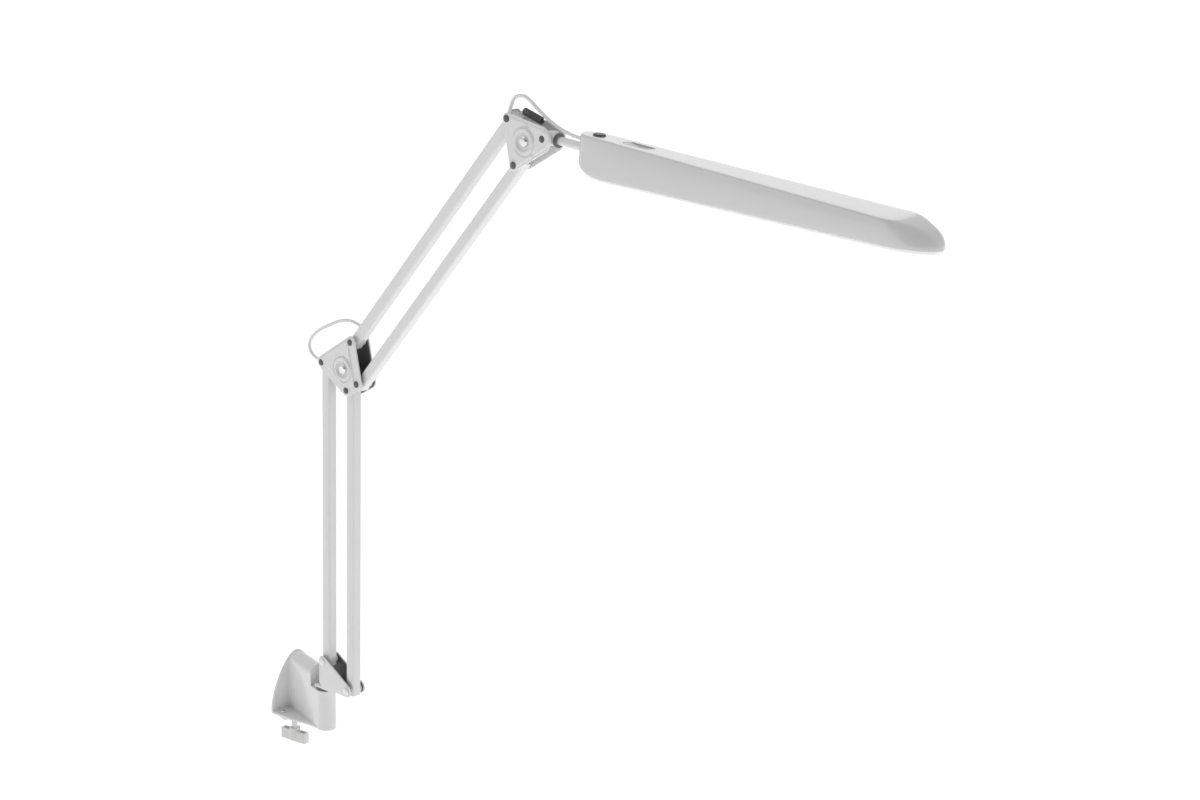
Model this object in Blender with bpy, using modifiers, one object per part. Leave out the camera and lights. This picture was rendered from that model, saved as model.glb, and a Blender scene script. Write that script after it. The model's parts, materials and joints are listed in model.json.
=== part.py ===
"""Clamp-on swing arm desk lamp: table clamp, swivelling base bracket, two parallelogram arms and an LED head.

Units are metres and +Z is up. The origin is the point where the upper jaw rests on a table top. +X leads
from the table edge out to the arm's post. The arm pieces are modelled in their own plane, X and Z, and hang
on frames (empties) that stand on the joint axes.
"""

import math

import bmesh
import bpy
from mathutils import Matrix, Vector

# Clearance between neighbouring solids.
GAP = 0.0003

# Clamp: distances from the post axis, heights from the top of the clamp's floor.
POST_AXIS_X = 0.0945
FLOOR_TOP_Z = -0.0267
SWIVEL_REST = math.radians(12.5)
BODY_HALF_WIDTH = 0.013
RIDGE_AXIS_Z = 0.064
SOCKET_TOP_Z = 0.051
PLATE_OUTER_X = -0.083
PLATE_THICK = 0.004
PLATE_HALF_WIDTH = 0.0395
PLATE_HEIGHT = 0.079
FLOOR_THICK = 0.004
POST_CLEARANCE_R = 0.022
JAW_REACH = 0.024
JAW_BOTTOM_Z = 0.029
LOWER_JAW_Z = (-0.018, -0.014)
SPINDLE_X = -0.0925
SPINDLE_R = 0.004
HANDLE_Z = (-0.055, -0.0405)
HANDLE_LENGTH = 0.042
HANDLE_THICK = 0.009
HANDLE_TURN = math.radians(20)

# Arms: pivot places in the arm plane, from the post axis and the clamp's floor.
ARM_LOWER = 0.400
ARM_UPPER = 0.403
LOWER_LEAN = math.radians(1.35)
UPPER_LEAN = math.radians(42)
BASE_REAR = Vector((0.0087, 0, 0.0938))
BASE_FRONT = Vector((0.0548, 0, 0.0657))
ELBOW_TOP = Vector((0.0545, 0, 0.0340))
ELBOW_FRONT = Vector((0.0653, 0, -0.0169))
ELBOW_BOSS = Vector((0.0405, 0, -0.0017))
HEAD_LOWER = Vector((0.0108, 0, -0.0509))
HEAD_BOSS = Vector((0.0268, 0, -0.0229))
HEAD_TILT = Vector((0.0553, 0, -0.0174))
TUBE_SIZE = 0.014
TUBE_WALL = 0.0012
TUBE_CORNER_R = 0.0022
FITTING_R = 0.0074
FITTING_REACH = 0.009
PIN_R = 0.003
PLATE_INNER_Y = 0.0105
PRESSED_THICK = 0.002
LINER_INNER_Y = 0.0094
THRUST_Y = 0.0091

# Head: lengths from the tilt axis along the head, heights from its centre line.
HEAD_DROOP = math.radians(5.47)
HEAD_START = 0.050
HEAD_END = 0.5225
HEAD_TOP_Z = 0.0173
HEAD_WALL = 0.002
HEAD_CORNER_LENGTH = 0.042
HEAD_CORNER_RISE = 0.0265
NOSE_START = 0.472
NOSE_ROUND = 0.050
DIFFUSER_DROP = 0.0034
BUTTON_X = 0.0716
BUTTON_R = 0.007
ROCKER_X = 0.1285
ROCKER_LENGTH = 0.040
ROCKER_WIDTH = 0.017
ROCKER_DEPTH = 0.0055
STEM_R = 0.005

CORD_R = 0.002

for old in list(bpy.data.objects):
    bpy.data.objects.remove(old)

parts = bpy.data.collections.new("swing_arm_desk_lamp")
cutters = bpy.data.collections.new("cutters")
for collection in (parts, cutters):
    bpy.context.scene.collection.children.link(collection)


# ---------------------------------------------------------------- materials


def material(name, colour, roughness, metallic=0.0):
    made = bpy.data.materials.new(name)
    made.use_nodes = True
    shader = made.node_tree.nodes["Principled BSDF"]
    shader.inputs["Base Color"].default_value = (*colour, 1)
    shader.inputs["Roughness"].default_value = roughness
    shader.inputs["Metallic"].default_value = metallic
    made.diffuse_color = (*colour, 1)
    return made


WHITE_PAINT = material("white_paint", (0.86, 0.86, 0.86), 0.2)
WHITE_PLASTIC = material("white_plastic", (0.84, 0.84, 0.83), 0.3)
BLACK_PLASTIC = material("black_plastic", (0.03, 0.03, 0.03), 0.4)
STEEL = material("plated_steel", (0.7, 0.7, 0.7), 0.3, 1.0)
BLACK_STEEL = material("blackened_steel", (0.05, 0.05, 0.05), 0.35, 1.0)
RUBBER = material("rubber", (0.08, 0.08, 0.08), 0.8)
OPAL = material("opal_diffuser", (0.92, 0.92, 0.9), 0.35)
ALUMINIUM = material("aluminium", (0.8, 0.8, 0.8), 0.35, 1.0)
BOARD = material("circuit_board", (0.85, 0.86, 0.84), 0.5)


# ---------------------------------------------------------------- frames and objects


def frame(name, parent=None, place=(0, 0, 0), turn=0.0, axis="Y"):
    """An empty on a joint axis, with its rest turn about that axis."""
    empty = bpy.data.objects.new(name, None)
    parts.objects.link(empty)
    empty.parent = parent
    empty.location = place
    empty.rotation_euler = [turn if letter == axis else 0 for letter in "XYZ"]
    return empty


def add(name, mesh, parent, look=None):
    """A node of the lamp, or a cutter where no material is given."""
    made = bpy.data.objects.new(name, mesh)
    made.parent = parent
    if look:
        parts.objects.link(made)
        mesh.materials.clear()
        mesh.materials.append(look)
    else:
        cutters.objects.link(made)
        made.hide_render = True
        made.display_type = "WIRE"
    mesh.shade_smooth()
    mesh.set_sharp_from_angle(angle=math.radians(35))
    return made


def boolean(target, tool, operation):
    change = target.modifiers.new(tool.name, "BOOLEAN")
    change.operation = operation
    change.solver = "EXACT"
    change.object = tool
    return target


def cut(target, *tools):
    for mesh in tools:
        boolean(target, add(target.name + "_cut", mesh, target.parent), "DIFFERENCE")
    return target


def fuse(target, *tools):
    for mesh in tools:
        boolean(target, add(target.name + "_joined", mesh, target.parent), "UNION")
    return target


def mesh_from(fill, *numbers):
    made = bmesh.new()
    fill(made, *numbers)
    mesh = bpy.data.meshes.new("shape")
    made.to_mesh(mesh)
    made.free()
    return mesh


# ---------------------------------------------------------------- shapes


def box(low, high, edge=0.0):
    """A block between two corners, with its edges rounded where edge is given."""
    low, high = Vector(low), Vector(high)
    size = high - low
    place = Matrix.Translation((low + high) / 2) @ Matrix.Diagonal((*size, 1))

    def fill(made):
        bmesh.ops.create_cube(made, size=1, matrix=place)
        if edge:
            bmesh.ops.bevel(made, geom=made.edges[:], offset=edge, segments=2, profile=0.5, affect="EDGES")

    return mesh_from(fill)


def rod(start, end, radius, sides=20):
    """A cylinder from start to end."""
    start, end = Vector(start), Vector(end)
    length = (end - start).length
    turn = (end - start).to_track_quat("Z", "Y").to_matrix().to_4x4()
    place = Matrix.Translation((start + end) / 2) @ turn
    ends = {"radius1": radius, "radius2": radius, "cap_ends": True}

    def fill(made):
        bmesh.ops.create_cone(made, segments=sides, depth=length, matrix=place, **ends)

    return mesh_from(fill)


def circle(centre, radius, sides=24):
    steps = [math.tau * step / sides for step in range(sides)]
    return [(centre[0] + radius * math.cos(a), centre[1] + radius * math.sin(a)) for a in steps]


def round_hull(*corners, sides=20):
    """The outline of a plate that wraps round circles, each given as (a, b, radius)."""
    points = sorted({p for a, b, radius in corners for p in circle((a, b), radius, sides)})

    def half(run):
        line = []
        for point in run:
            while len(line) > 1 and turn_of(line[-2], line[-1], point) <= 1e-10:
                line.pop()
            line.append(point)
        return line[:-1]

    return half(points) + half(points[::-1])


def turn_of(a, b, c):
    return (b[0] - a[0]) * (c[1] - a[1]) - (b[1] - a[1]) * (c[0] - a[0])


def rounded_rectangle(low, high, radius, sides=16):
    (a0, b0), (a1, b1) = low, high
    inset = [(a, b, radius) for a in (a0 + radius, a1 - radius) for b in (b0 + radius, b1 - radius)]
    return round_hull(*inset, sides=sides)


UPRIGHT = Matrix.Rotation(math.radians(90), 4, "X")
FLAT = Matrix.Identity(4)
ACROSS = Matrix(((0, 0, 1, 0), (1, 0, 0, 0), (0, 1, 0, 0), (0, 0, 0, 1)))


def evaluated_mesh(source):
    """The object's final mesh with its caps welded; the object itself goes."""
    bpy.context.view_layer.update()
    graph = bpy.context.evaluated_depsgraph_get()
    mesh = bpy.data.meshes.new_from_object(source.evaluated_get(graph))
    made = bmesh.new()
    made.from_mesh(mesh)
    bmesh.ops.remove_doubles(made, verts=made.verts, dist=1e-6)
    bmesh.ops.recalc_face_normals(made, faces=made.faces)
    made.to_mesh(mesh)
    made.free()
    mesh.transform(source.matrix_world)
    bpy.data.objects.remove(source)
    return mesh


def sheet(loops, low, high, facing=UPRIGHT):
    """Flat outlines, the first outside and the rest holes, extruded between two depths.

    UPRIGHT outlines lie in X and Z and are deep along Y, FLAT ones lie in X and Y and are deep along Z, and
    ACROSS ones lie in Y and Z and are deep along X.
    """
    curve = bpy.data.curves.new("outline", "CURVE")
    curve.dimensions = "2D"
    curve.fill_mode = "BOTH"
    curve.extrude = (high - low) / 2
    for loop in loops:
        line = curve.splines.new("POLY")
        line.points.add(len(loop) - 1)
        line.use_cyclic_u = True
        for spot, (a, b) in zip(line.points, loop):
            spot.co = (a, b, 0, 1)
    source = bpy.data.objects.new("outline", curve)
    cutters.objects.link(source)
    depth = -(low + high) / 2 if facing is UPRIGHT else (low + high) / 2
    source.matrix_world = facing @ Matrix.Translation((0, 0, depth))
    return evaluated_mesh(source)


def turned(profile, place=FLAT, steps=24):
    """A solid turned about Z. The profile is (radius, height) pairs, from the top down the outer side."""
    mesh = bpy.data.meshes.new("profile")
    closed = profile[0][0] > 0
    count = len(profile)
    edges = [(i, (i + 1) % count) for i in range(count if closed else count - 1)]
    mesh.from_pydata([(radius, 0, height) for radius, height in profile], edges, [])
    source = bpy.data.objects.new("profile", mesh)
    cutters.objects.link(source)
    screw = source.modifiers.new("turn", "SCREW")
    screw.steps = steps
    screw.render_steps = steps
    screw.use_merge_vertices = True
    screw.merge_threshold = 1e-5
    source.matrix_world = place
    return evaluated_mesh(source)


def smooth_route(points, step):
    """Points about a step apart along one smooth curve through the given points."""
    spots = [Vector(p) for p in points]
    spots = [2 * spots[0] - spots[1], *spots, 2 * spots[-1] - spots[-2]]
    route = []
    for before, start, end, after in zip(spots, spots[1:], spots[2:], spots[3:]):
        count = max(1, round((end - start).length / step))
        for index in range(count):
            t = index / count
            route.append(
                0.5
                * (
                    2 * start
                    + (end - before) * t
                    + (2 * before - 5 * start + 4 * end - after) * t**2
                    + (3 * start - before - 3 * end + after) * t**3
                )
            )
    return [*route, spots[-2]]


def tube(points, radius, resolution=2):
    """A round wire along the points."""
    curve = bpy.data.curves.new("wire", "CURVE")
    curve.dimensions = "3D"
    curve.bevel_depth = radius
    curve.bevel_resolution = resolution
    curve.use_fill_caps = True
    line = curve.splines.new("POLY")
    line.points.add(len(points) - 1)
    for spot, point in zip(line.points, points):
        spot.co = (*point, 1)
    source = bpy.data.objects.new("wire", curve)
    cutters.objects.link(source)
    return evaluated_mesh(source)


def coil(start, end, radius, turns, per_turn=8):
    """Points of a helix about the line from start to end."""
    start, end = Vector(start), Vector(end)
    turn = (end - start).to_track_quat("Z", "Y")
    points = []
    for index in range(turns * per_turn + 1):
        angle = math.tau * index / per_turn
        round_axis = Vector((radius * math.cos(angle), radius * math.sin(angle), 0))
        points.append(start.lerp(end, index / (turns * per_turn)) + turn @ round_axis)
    return points


def rivet(place, half_length, head_r, head_h, pin_r=PIN_R):
    """A pin along Y through place, with a domed head past each end of its half length."""
    top = half_length + GAP
    dome = [(0, top + head_h), (head_r * 0.55, top + head_h * 0.85), (head_r * 0.9, top + head_h * 0.45)]
    half = [*dome, (head_r, top + head_h * 0.1), (head_r, top), (pin_r, top)]
    profile = [*half, *[(radius, -height) for radius, height in half[::-1]]]
    return turned(profile, at(place) @ Matrix.Rotation(math.radians(-90), 4, "X"), steps=12)


def at(point):
    return Matrix.Translation(Vector(point))


def xz(point):
    return (point[0], point[2])


# ---------------------------------------------------------------- clamp


def floor_outline():
    """The floor's plan: straight across the end plate, drawn in by a convex curve to the socket."""
    side = [(-0.083, 0.0395), (-0.074, 0.0383), (-0.063, 0.0355), (-0.050, 0.0322), (-0.038, 0.0297)]
    side += [(-0.028, 0.0262), (-0.019, 0.0203), (-0.010, 0.0150), (-0.002, 0.0128)]
    nose = [(0.013 * math.sin(a), 0.013 * math.cos(a)) for a in [math.pi * k / 12 for k in range(1, 12)]]
    return [*side, *nose, *[(x, -y) for x, y in side[::-1]]]


def arch_outline(inset=0.0, count=10):
    """The end plate's arch, as (y, z): a cubic curve up each side to the crown."""
    wide, tall = PLATE_HALF_WIDTH - inset, PLATE_HEIGHT - inset
    half = []
    for index in range(count + 1):
        t = index / count
        y = wide * ((1 - t) ** 3 + 3 * t * (1 - t) ** 2) + 0.0165 * 3 * t * t * (1 - t)
        z = 0.027 * 3 * t * (1 - t) ** 2 + tall * (3 * t * t * (1 - t) + t**3)
        half.append((y, z))
    foot = -FLOOR_THICK
    return [(wide, foot), *half, *[(-y, z) for y, z in half[-2::-1]], (-wide, foot)]


def make_clamp(base):
    inner_x = PLATE_OUTER_X + PLATE_THICK
    body = add("clamp_body", sheet([floor_outline()], -FLOOR_THICK, 0, FLAT), base, WHITE_PAINT)
    half = BODY_HALF_WIDTH
    fuse(body, sheet([arch_outline()], PLATE_OUTER_X, inner_x, ACROSS))
    fuse(body, box((PLATE_OUTER_X + 0.002, -half, -FLOOR_THICK + 0.001), (0.002, half, RIDGE_AXIS_Z)))
    fuse(body, rod((PLATE_OUTER_X + 0.002, 0, RIDGE_AXIS_Z), (0.004, 0, RIDGE_AXIS_Z), half, 24))
    fuse(body, rod((0, 0, -FLOOR_THICK), (0, 0, SOCKET_TOP_Z + 0.002), half + 0.0001, 24))
    jaw_tip = PLATE_OUTER_X - JAW_REACH
    fuse(body, box((jaw_tip, -0.011, JAW_BOTTOM_Z), (PLATE_OUTER_X + 0.002, 0.011, JAW_BOTTOM_Z + 0.006)))
    web = [(PLATE_OUTER_X + 0.002, 0.033), (PLATE_OUTER_X + 0.002, 0.056), (jaw_tip + 0.004, 0.033)]
    fuse(body, sheet([web], -0.003, 0.003))
    # Room for the bracket to swing, the socket's bore and the screw's counterbore.
    cut(body, rod((0, 0, SOCKET_TOP_Z), (0, 0, 0.1), POST_CLEARANCE_R, 36))
    cut(body, rod((0, 0, 0.005), (0, 0, 0.06), 0.0095, 24))
    cut(body, rod((0, 0, -0.01), (0, 0, 0.001), 0.009, 20))
    cut(body, rod((0, 0, -0.002), (0, 0, 0.008), 0.0036, 16))
    screw_spots = [(-0.069, side * 0.0285) for side in (1, -1)]
    for x, y in screw_spots:
        cut(body, rod((x, y, -0.01), (x, y, 0.01), 0.0024, 16))

    jaw = add("lower_jaw", box((-0.078, -0.032, -0.0083), (-0.058, 0.032, -0.0043)), base, WHITE_PAINT)
    riser_x = (-0.0833, -0.0793)
    fuse(jaw, box((riser_x[0], -0.015, LOWER_JAW_Z[0] + 0.0005), (riser_x[1], 0.015, -0.0045)))
    fuse(jaw, box((riser_x[0] + 0.001, -0.0148, -0.0081), (-0.077, 0.0148, -0.0047)))
    fuse(jaw, box((jaw_tip, -0.0152, LOWER_JAW_Z[0]), (riser_x[1] - 0.0005, 0.0152, LOWER_JAW_Z[1])))
    fuse(jaw, rod((SPINDLE_X, 0, LOWER_JAW_Z[0]), (SPINDLE_X, 0, -0.010), 0.008, 24))
    cut(jaw, rod((SPINDLE_X, 0, -0.03), (SPINDLE_X, 0, 0), SPINDLE_R + GAP, 24))
    for x, y in screw_spots:
        cut(jaw, rod((x, y, -0.02), (x, y, 0.01), 0.0024, 16))
    screw = [(0, 0.0022), (0.003, 0.0018), (0.004, GAP), (0.0021, GAP), (0.0021, -0.0080), (0, -0.0080)]
    for (x, y), word in zip(screw_spots, ("left", "right")):
        add("jaw_screw_" + word, turned(screw, at((x, y, 0)), steps=16), base, STEEL)

    pad = box((jaw_tip + 0.001, -0.0105, 0.0267), (PLATE_OUTER_X - 0.0005, 0.0105, JAW_BOTTOM_Z - GAP))
    add("upper_jaw_pad", pad, base, RUBBER)
    bush = [(0.0063, 0.0543), (0.0125, 0.0543), (0.0125, 0.0513), (0.0092, 0.0513), (0.0092, 0.0056)]
    bush.append((0.0063, 0.0056))
    add("socket_bush", turned(bush), base, BLACK_PLASTIC)


def make_spindle(base):
    """The clamp's screw, its handle and the swivelling pad, about the spindle's axis."""
    r = SPINDLE_R
    stem = [(0, -0.0062), (0.0032, -0.0062), (0.0036, -0.0066), (0.0036, -0.0072), (0.0024, -0.0072)]
    stem += [(0.0024, -0.0098), (0.0032, -0.0100), (r, -0.0112), (r, -0.052), (0, -0.052)]
    spindle = add("clamp_spindle", turned(stem, steps=24), base, STEEL)
    turn = Matrix.Rotation(HANDLE_TURN, 4, "Z")
    across = turn @ Vector((0, 1, 0))
    low, high = HANDLE_Z
    half, thick = HANDLE_LENGTH / 2, HANDLE_THICK / 2
    grip = box((-half, -thick, low), (half, thick, high), edge=0.0008)
    grip.transform(turn)
    handle = add("clamp_handle", grip, base, WHITE_PLASTIC)
    fuse(handle, rod((0, 0, low + 0.001), (0, 0, high + 0.004), 0.0072, 24))
    for near, far in ((0.009, 0.019), (-0.019, -0.009)):
        pocket = box((near, -0.003, low + 0.003), (far, 0.003, 0))
        pocket.transform(turn)
        cut(handle, pocket)
    cut(handle, rod((0, 0, -0.0523), (0, 0, 0), r + GAP, 24))
    centre = Vector((0, 0, -0.0465))
    cross = rod(centre - across * 0.010, centre + across * 0.010, 0.0018, 12)
    cut(handle, cross.copy())
    cut(spindle, cross)
    pin = rod(centre - across * 0.0045, centre + across * 0.0045, 0.0015, 12)
    add("handle_pin", pin, base, STEEL)
    cup = [(0.0045, -0.0057), (0.0088, -0.0057), (0.0088, -0.0085), (0.0080, -0.0097), (0.0028, -0.0097)]
    cup += [(0.0028, -0.0075), (0.0045, -0.0075)]
    add("pressure_pad", turned(cup), base, STEEL)
    face = [(0, -0.0032), (0.0078, -0.0032), (0.0084, -0.0038), (0.0084, -0.0054), (0, -0.0054)]
    add("pressure_pad_rubber", turned(face), base, RUBBER)


# ---------------------------------------------------------------- swivelling base bracket


def joint_core(name, base, outline, holes, link, look):
    """A moulded core: a lining inside each side plate, joined by the link between them."""
    loops = [outline, *[circle(xz(p), PIN_R + 0.0005, 12) for p in holes]]
    core = add(name, sheet(loops, LINER_INNER_Y, PLATE_INNER_Y - GAP), base, look)
    return fuse(core, sheet(loops, -PLATE_INNER_Y + GAP, -LINER_INNER_Y), link)


def add_rivets(prefix, base, pivots, look, head_r=0.0042, head_h=0.0014):
    for number, pivot in enumerate(pivots, 1):
        pin = rivet(pivot, PLATE_INNER_Y + PRESSED_THICK, head_r, head_h)
        add(f"{prefix}_pin_{number}", pin, base, look)


def pressed_plate(outline, holes, side, bore=None):
    """One side plate: flat steel with a hole round each pin, and a bolt hole at bore."""
    loops = [outline, *[circle(xz(p), PIN_R + GAP, 12) for p in holes]]
    if bore:
        loops.append(circle(xz(bore), 0.0043, 16))
    low, high = sorted((side * PLATE_INNER_Y, side * (PLATE_INNER_Y + PRESSED_THICK)))
    return sheet(loops, low, high)


def make_base_bracket(base):
    rear, front = BASE_REAR, BASE_FRONT
    shape = round_hull((rear.x, rear.z, 0.0075), (rear.x, front.z, 0.0075), (front.x, front.z, 0.0085))
    pins = (rear, front)
    bracket = add("base_bracket", pressed_plate(shape, pins, 1), base, WHITE_PAINT)
    fuse(bracket, pressed_plate(shape, pins, -1))
    outer = PLATE_INNER_Y + PRESSED_THICK - 0.0001
    fuse(bracket, box((-0.0085, -outer, 0.0548), (0.030, outer, 0.0588), edge=0.0005))
    cut(bracket, rod((0, 0, 0.05), (0, 0, 0.065), 0.0063, 24))
    add_rivets("base", base, pins, WHITE_PAINT, 0.0050, 0.0021)
    corners = [(rear.x, rear.z, 0.0070), (rear.x, 0.0665, 0.0066), (front.x, front.z + 0.0008, 0.0072)]
    bridge = box((0.0200, -LINER_INNER_Y - 0.0002, 0.0612), (0.0330, LINER_INNER_Y + 0.0002, 0.0660))
    joint_core("base_core", base, round_hull(*corners), pins, bridge, BLACK_PLASTIC)
    post = [(0, 0.0622), (0.0070, 0.0618), (0.0082, 0.0608), (0.0082, 0.0591), (0.0060, 0.0591)]
    post += [(0.0060, 0.0055), (0.0033, 0.0055), (0.0033, 0.0190), (0, 0.0200)]
    add("bracket_post", turned(post), base, STEEL)
    screw = [(0, 0.0180), (0.0030, 0.0170), (0.0030, 0.0007), (0.0085, 0.0007), (0.0085, -0.0012)]
    screw += [(0.0055, -0.0014), (0.0055, -0.0030), (0, -0.0037)]
    add("post_screw", turned(screw), base, STEEL)


# ---------------------------------------------------------------- rails of the arms


def fitting(name, base, place):
    """The moulded end of a rail: round about its pin, with thrust bosses and a spigot inside the tube."""
    r, reach = FITTING_R, FITTING_REACH
    edge = 0.0012
    corners = [(side * (r - edge), reach - edge, edge) for side in (1, -1)]
    body = round_hull((0, 0, r), *corners)
    inner = TUBE_SIZE / 2 - TUBE_WALL - GAP
    spigot = box((-inner, -inner, reach - 0.001), (inner, inner, reach + 0.012), edge=0.0006)
    shapes = [sheet([body], -r, r), rod((0, -THRUST_Y, 0), (0, THRUST_Y, 0), 0.006, 16), spigot]
    hole = rod((0, -0.02, 0), (0, 0.02, 0), PIN_R + GAP, 12)
    for shape in (*shapes, hole):
        shape.transform(place)
    made = add(name, shapes[0], base, WHITE_PLASTIC)
    fuse(made, *shapes[1:])
    return cut(made, hole)


def rail_tube(length):
    """A square tube between the two fittings, with rounded edges."""
    half = TUBE_SIZE / 2
    inner = half - TUBE_WALL
    loops = [rounded_rectangle((-half, -half), (half, half), TUBE_CORNER_R, 12)]
    loops.append(rounded_rectangle((-inner, -inner), (inner, inner), 0.001, 8))
    reach = FITTING_REACH + GAP
    return sheet(loops, reach, length - reach, FLAT)


def make_rail(name, base, length, cord_cuts=()):
    """One rail: its tube and its two end fittings. cord_cuts leave room for a cord at its low or high end."""
    tube_part = add(name, rail_tube(length), base, WHITE_PAINT)
    places = {"low": FLAT, "high": at((0, 0, length)) @ Matrix.Rotation(math.pi, 4, "Y")}
    ends = {word: fitting(f"{name}_{word}_end", base, place) for word, place in places.items()}
    for word, route in cord_cuts:
        cut(tube_part, tube(route, CORD_R + 0.0006))
        cut(ends[word], tube(route, CORD_R + 0.0006))


def along(lean, distance, offset=0.0):
    """A point beside a rail: distance up it from its pin, offset to its left."""
    across = Vector((-math.cos(lean), 0, math.sin(lean)))
    return Vector((math.sin(lean), 0, math.cos(lean))) * distance + across * offset


def elbow_cord_route():
    """From inside the upper rail, out of its side, over the elbow and down into the rear lower rail."""
    inside = ((0.034, 0), (0.026, 0.0008), (0.0205, 0.0045))
    start = [ELBOW_TOP + along(UPPER_LEAN, *spot) for spot in inside]
    loop = [(0.0575, 0.0545), (0.0490, 0.0565), (0.0370, 0.0570), (0.0220, 0.0540), (0.0055, 0.0474)]
    loop += [(-0.0140, 0.0381), (-0.0295, 0.0275), (-0.0365, 0.0185), (-0.0375, 0.0110), (-0.0335, 0.0040)]
    loop += [(-0.0255, -0.0005), (-0.0165, -0.0024), (-0.0095, -0.0052), (-0.0048, -0.0110)]
    loop += [(-0.0018, -0.0190), (-0.0005, -0.0290)]
    return [*start, *[Vector((x, 0, z)) for x, z in loop]]


def head_cord_route():
    """From the upper rail's top end, in a loop over the head bracket and down into the back of the head."""
    inside = ((-0.030, 0), (-0.018, 0.0004), (-0.0095, 0.0035), (-0.0035, 0.0090))
    start = [along(UPPER_LEAN, *spot) for spot in inside]
    loop = [(-0.0052, 0.0135), (-0.0020, 0.0200), (0.0035, 0.0238), (0.0110, 0.0252), (0.0180, 0.0240)]
    loop += [(0.0255, 0.0200), (0.0385, 0.0112), (0.0530, 0.0022), (0.0690, -0.0052), (0.0850, -0.0100)]
    loop += [(0.1000, -0.0128), (0.1075, -0.0136)]
    return [*start, *[Vector((x, 0, z)) for x, z in loop]]


def in_frame(route, origin, lean):
    """The route in the frame of a rail whose pin is at origin."""
    back = Matrix.Rotation(-lean, 3, "Y")
    return [back @ (point - origin) for point in route]


# ---------------------------------------------------------------- elbow and head bracket


def boss_ring(place, radius, side):
    """The raised ring pressed round a bolt, standing proud of a side plate."""
    face = PLATE_INNER_Y + PRESSED_THICK
    rise = 0.0013
    profile = [(radius - 0.0045, rise), (radius - 0.0012, rise), (radius, -0.001), (radius - 0.0055, -0.001)]
    turn = Matrix.Rotation(math.radians(-90 * side), 4, "X")
    return turned(profile, at(place) @ at((0, side * face, 0)) @ turn)


def make_joint_plates(prefix, base, outline, inset_outline, pins, boss, boss_r, core_look):
    """The two side plates of a joint, with the core, pins, bolt and nut that hold them."""
    for side, word in ((-1, "near"), (1, "far")):
        plate = add(f"{prefix}_plate_{word}", pressed_plate(outline, pins, side, boss), base, WHITE_PAINT)
        fuse(plate, boss_ring(boss, boss_r, side))
    add_rivets(prefix, base, pins, BLACK_STEEL)
    outer = PLATE_INNER_Y + PRESSED_THICK + GAP
    spacer = [(0, LINER_INNER_Y + 0.0004), (0.0075, LINER_INNER_Y + 0.0004)]
    spacer += [(radius, -height) for radius, height in spacer[::-1]]
    lie = at(boss) @ Matrix.Rotation(math.radians(90), 4, "X")
    core = joint_core(prefix + "_core", base, inset_outline, pins, turned(spacer, lie, 24), core_look)
    cut(core, rod(boss - Vector((0, 0.02, 0)), boss + Vector((0, 0.02, 0)), 0.0043))
    bolt = [(0, outer + 0.0026), (0.0050, outer + 0.0022), (0.0072, outer + 0.0008), (0.0074, outer)]
    bolt += [(0.0040, outer), (0.0040, -outer - 0.0050), (0, -outer - 0.0050)]
    add(prefix + "_bolt", turned(bolt, lie, 24), base, STEEL)
    nut = sheet([circle((0, 0), 0.0074, 6), circle((0, 0), 0.0043, 16)], outer, outer + 0.0040)
    nut.transform(at(boss))
    add(prefix + "_nut", nut, base, STEEL)


def make_elbow(base):
    rear, front = Vector((0, 0, 0)), BASE_FRONT - BASE_REAR
    pins = (rear, front, ELBOW_TOP, ELBOW_FRONT)
    radii = (0.0080, 0.0080, 0.0078, 0.0085)
    outline = round_hull(*[(p.x, p.z, r) for p, r in zip(pins, radii)])
    inset = round_hull(*[(p.x, p.z, r - 0.0012) for p, r in zip(pins, radii)])
    make_joint_plates("elbow", base, outline, inset, pins, ELBOW_BOSS, 0.0165, BLACK_PLASTIC)


def make_head_bracket(base):
    top = Vector((0, 0, 0))
    pins = (top, HEAD_LOWER, HEAD_TILT)
    corners = [(0, 0, 0.0066), (HEAD_LOWER.x, HEAD_LOWER.z, 0.0066), (0.0515, -0.0185, 0.0150)]
    outline = round_hull(*corners)
    inset = round_hull(*[(x, z, r - 0.0012) for x, z, r in corners])
    make_joint_plates("head_bracket", base, outline, inset, pins, HEAD_BOSS, 0.0170, WHITE_PLASTIC)
    # The balance spring of the head, hooked between two cross pins.
    start, end = Vector((0.0155, 0, 0.0086)), Vector((0.0425, 0, 0.0002))
    wire = [start - Vector((0.0030, 0, 0)), *coil(start, end, 0.0036, 8), end + Vector((0.0020, 0, 0))]
    add("head_spring", tube(wire, 0.0008, 1), base, BLACK_STEEL)


def make_tilt_block(base):
    """The black block that tilts between the bracket's plates and clamps the stem's collar."""
    half = LINER_INNER_Y - GAP
    block = add("tilt_block", sheet([circle((0, 0), 0.0085, 24)], -half, half), base, BLACK_PLASTIC)
    fuse(block, rod((0, 0, 0), (0.0165, 0, 0), 0.0078, 24))
    cut(block, rod((0, -0.02, 0), (0, 0.02, 0), PIN_R + GAP, 16))
    cut(block, rod((0.0050, 0, 0), (0.02, 0, 0), STEM_R + GAP, 24))


# ---------------------------------------------------------------- head


def head_half_width(x):
    """Half the head's width: it widens from the stem, with a round back and a rounded nose."""
    wide = 0.0152 + (x - 0.040) * 0.0322
    back, nose = HEAD_START + 0.0150, HEAD_END - NOSE_ROUND
    if x < back:
        return wide * math.sqrt(max(0, 1 - ((back - x) / 0.0150) ** 2))
    if x > nose:
        return wide * math.sqrt(max(0, 1 - ((x - nose) / NOSE_ROUND) ** 2))
    return wide


def head_top(x):
    """Height of the head's top: level, then rounding down over the nose."""
    if x <= NOSE_START:
        return HEAD_TOP_Z
    t = (x - NOSE_START) / (HEAD_END - NOSE_START)
    return HEAD_TOP_Z - 0.0215 * (1 - math.sqrt(max(0, 1 - t * t)))


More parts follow.
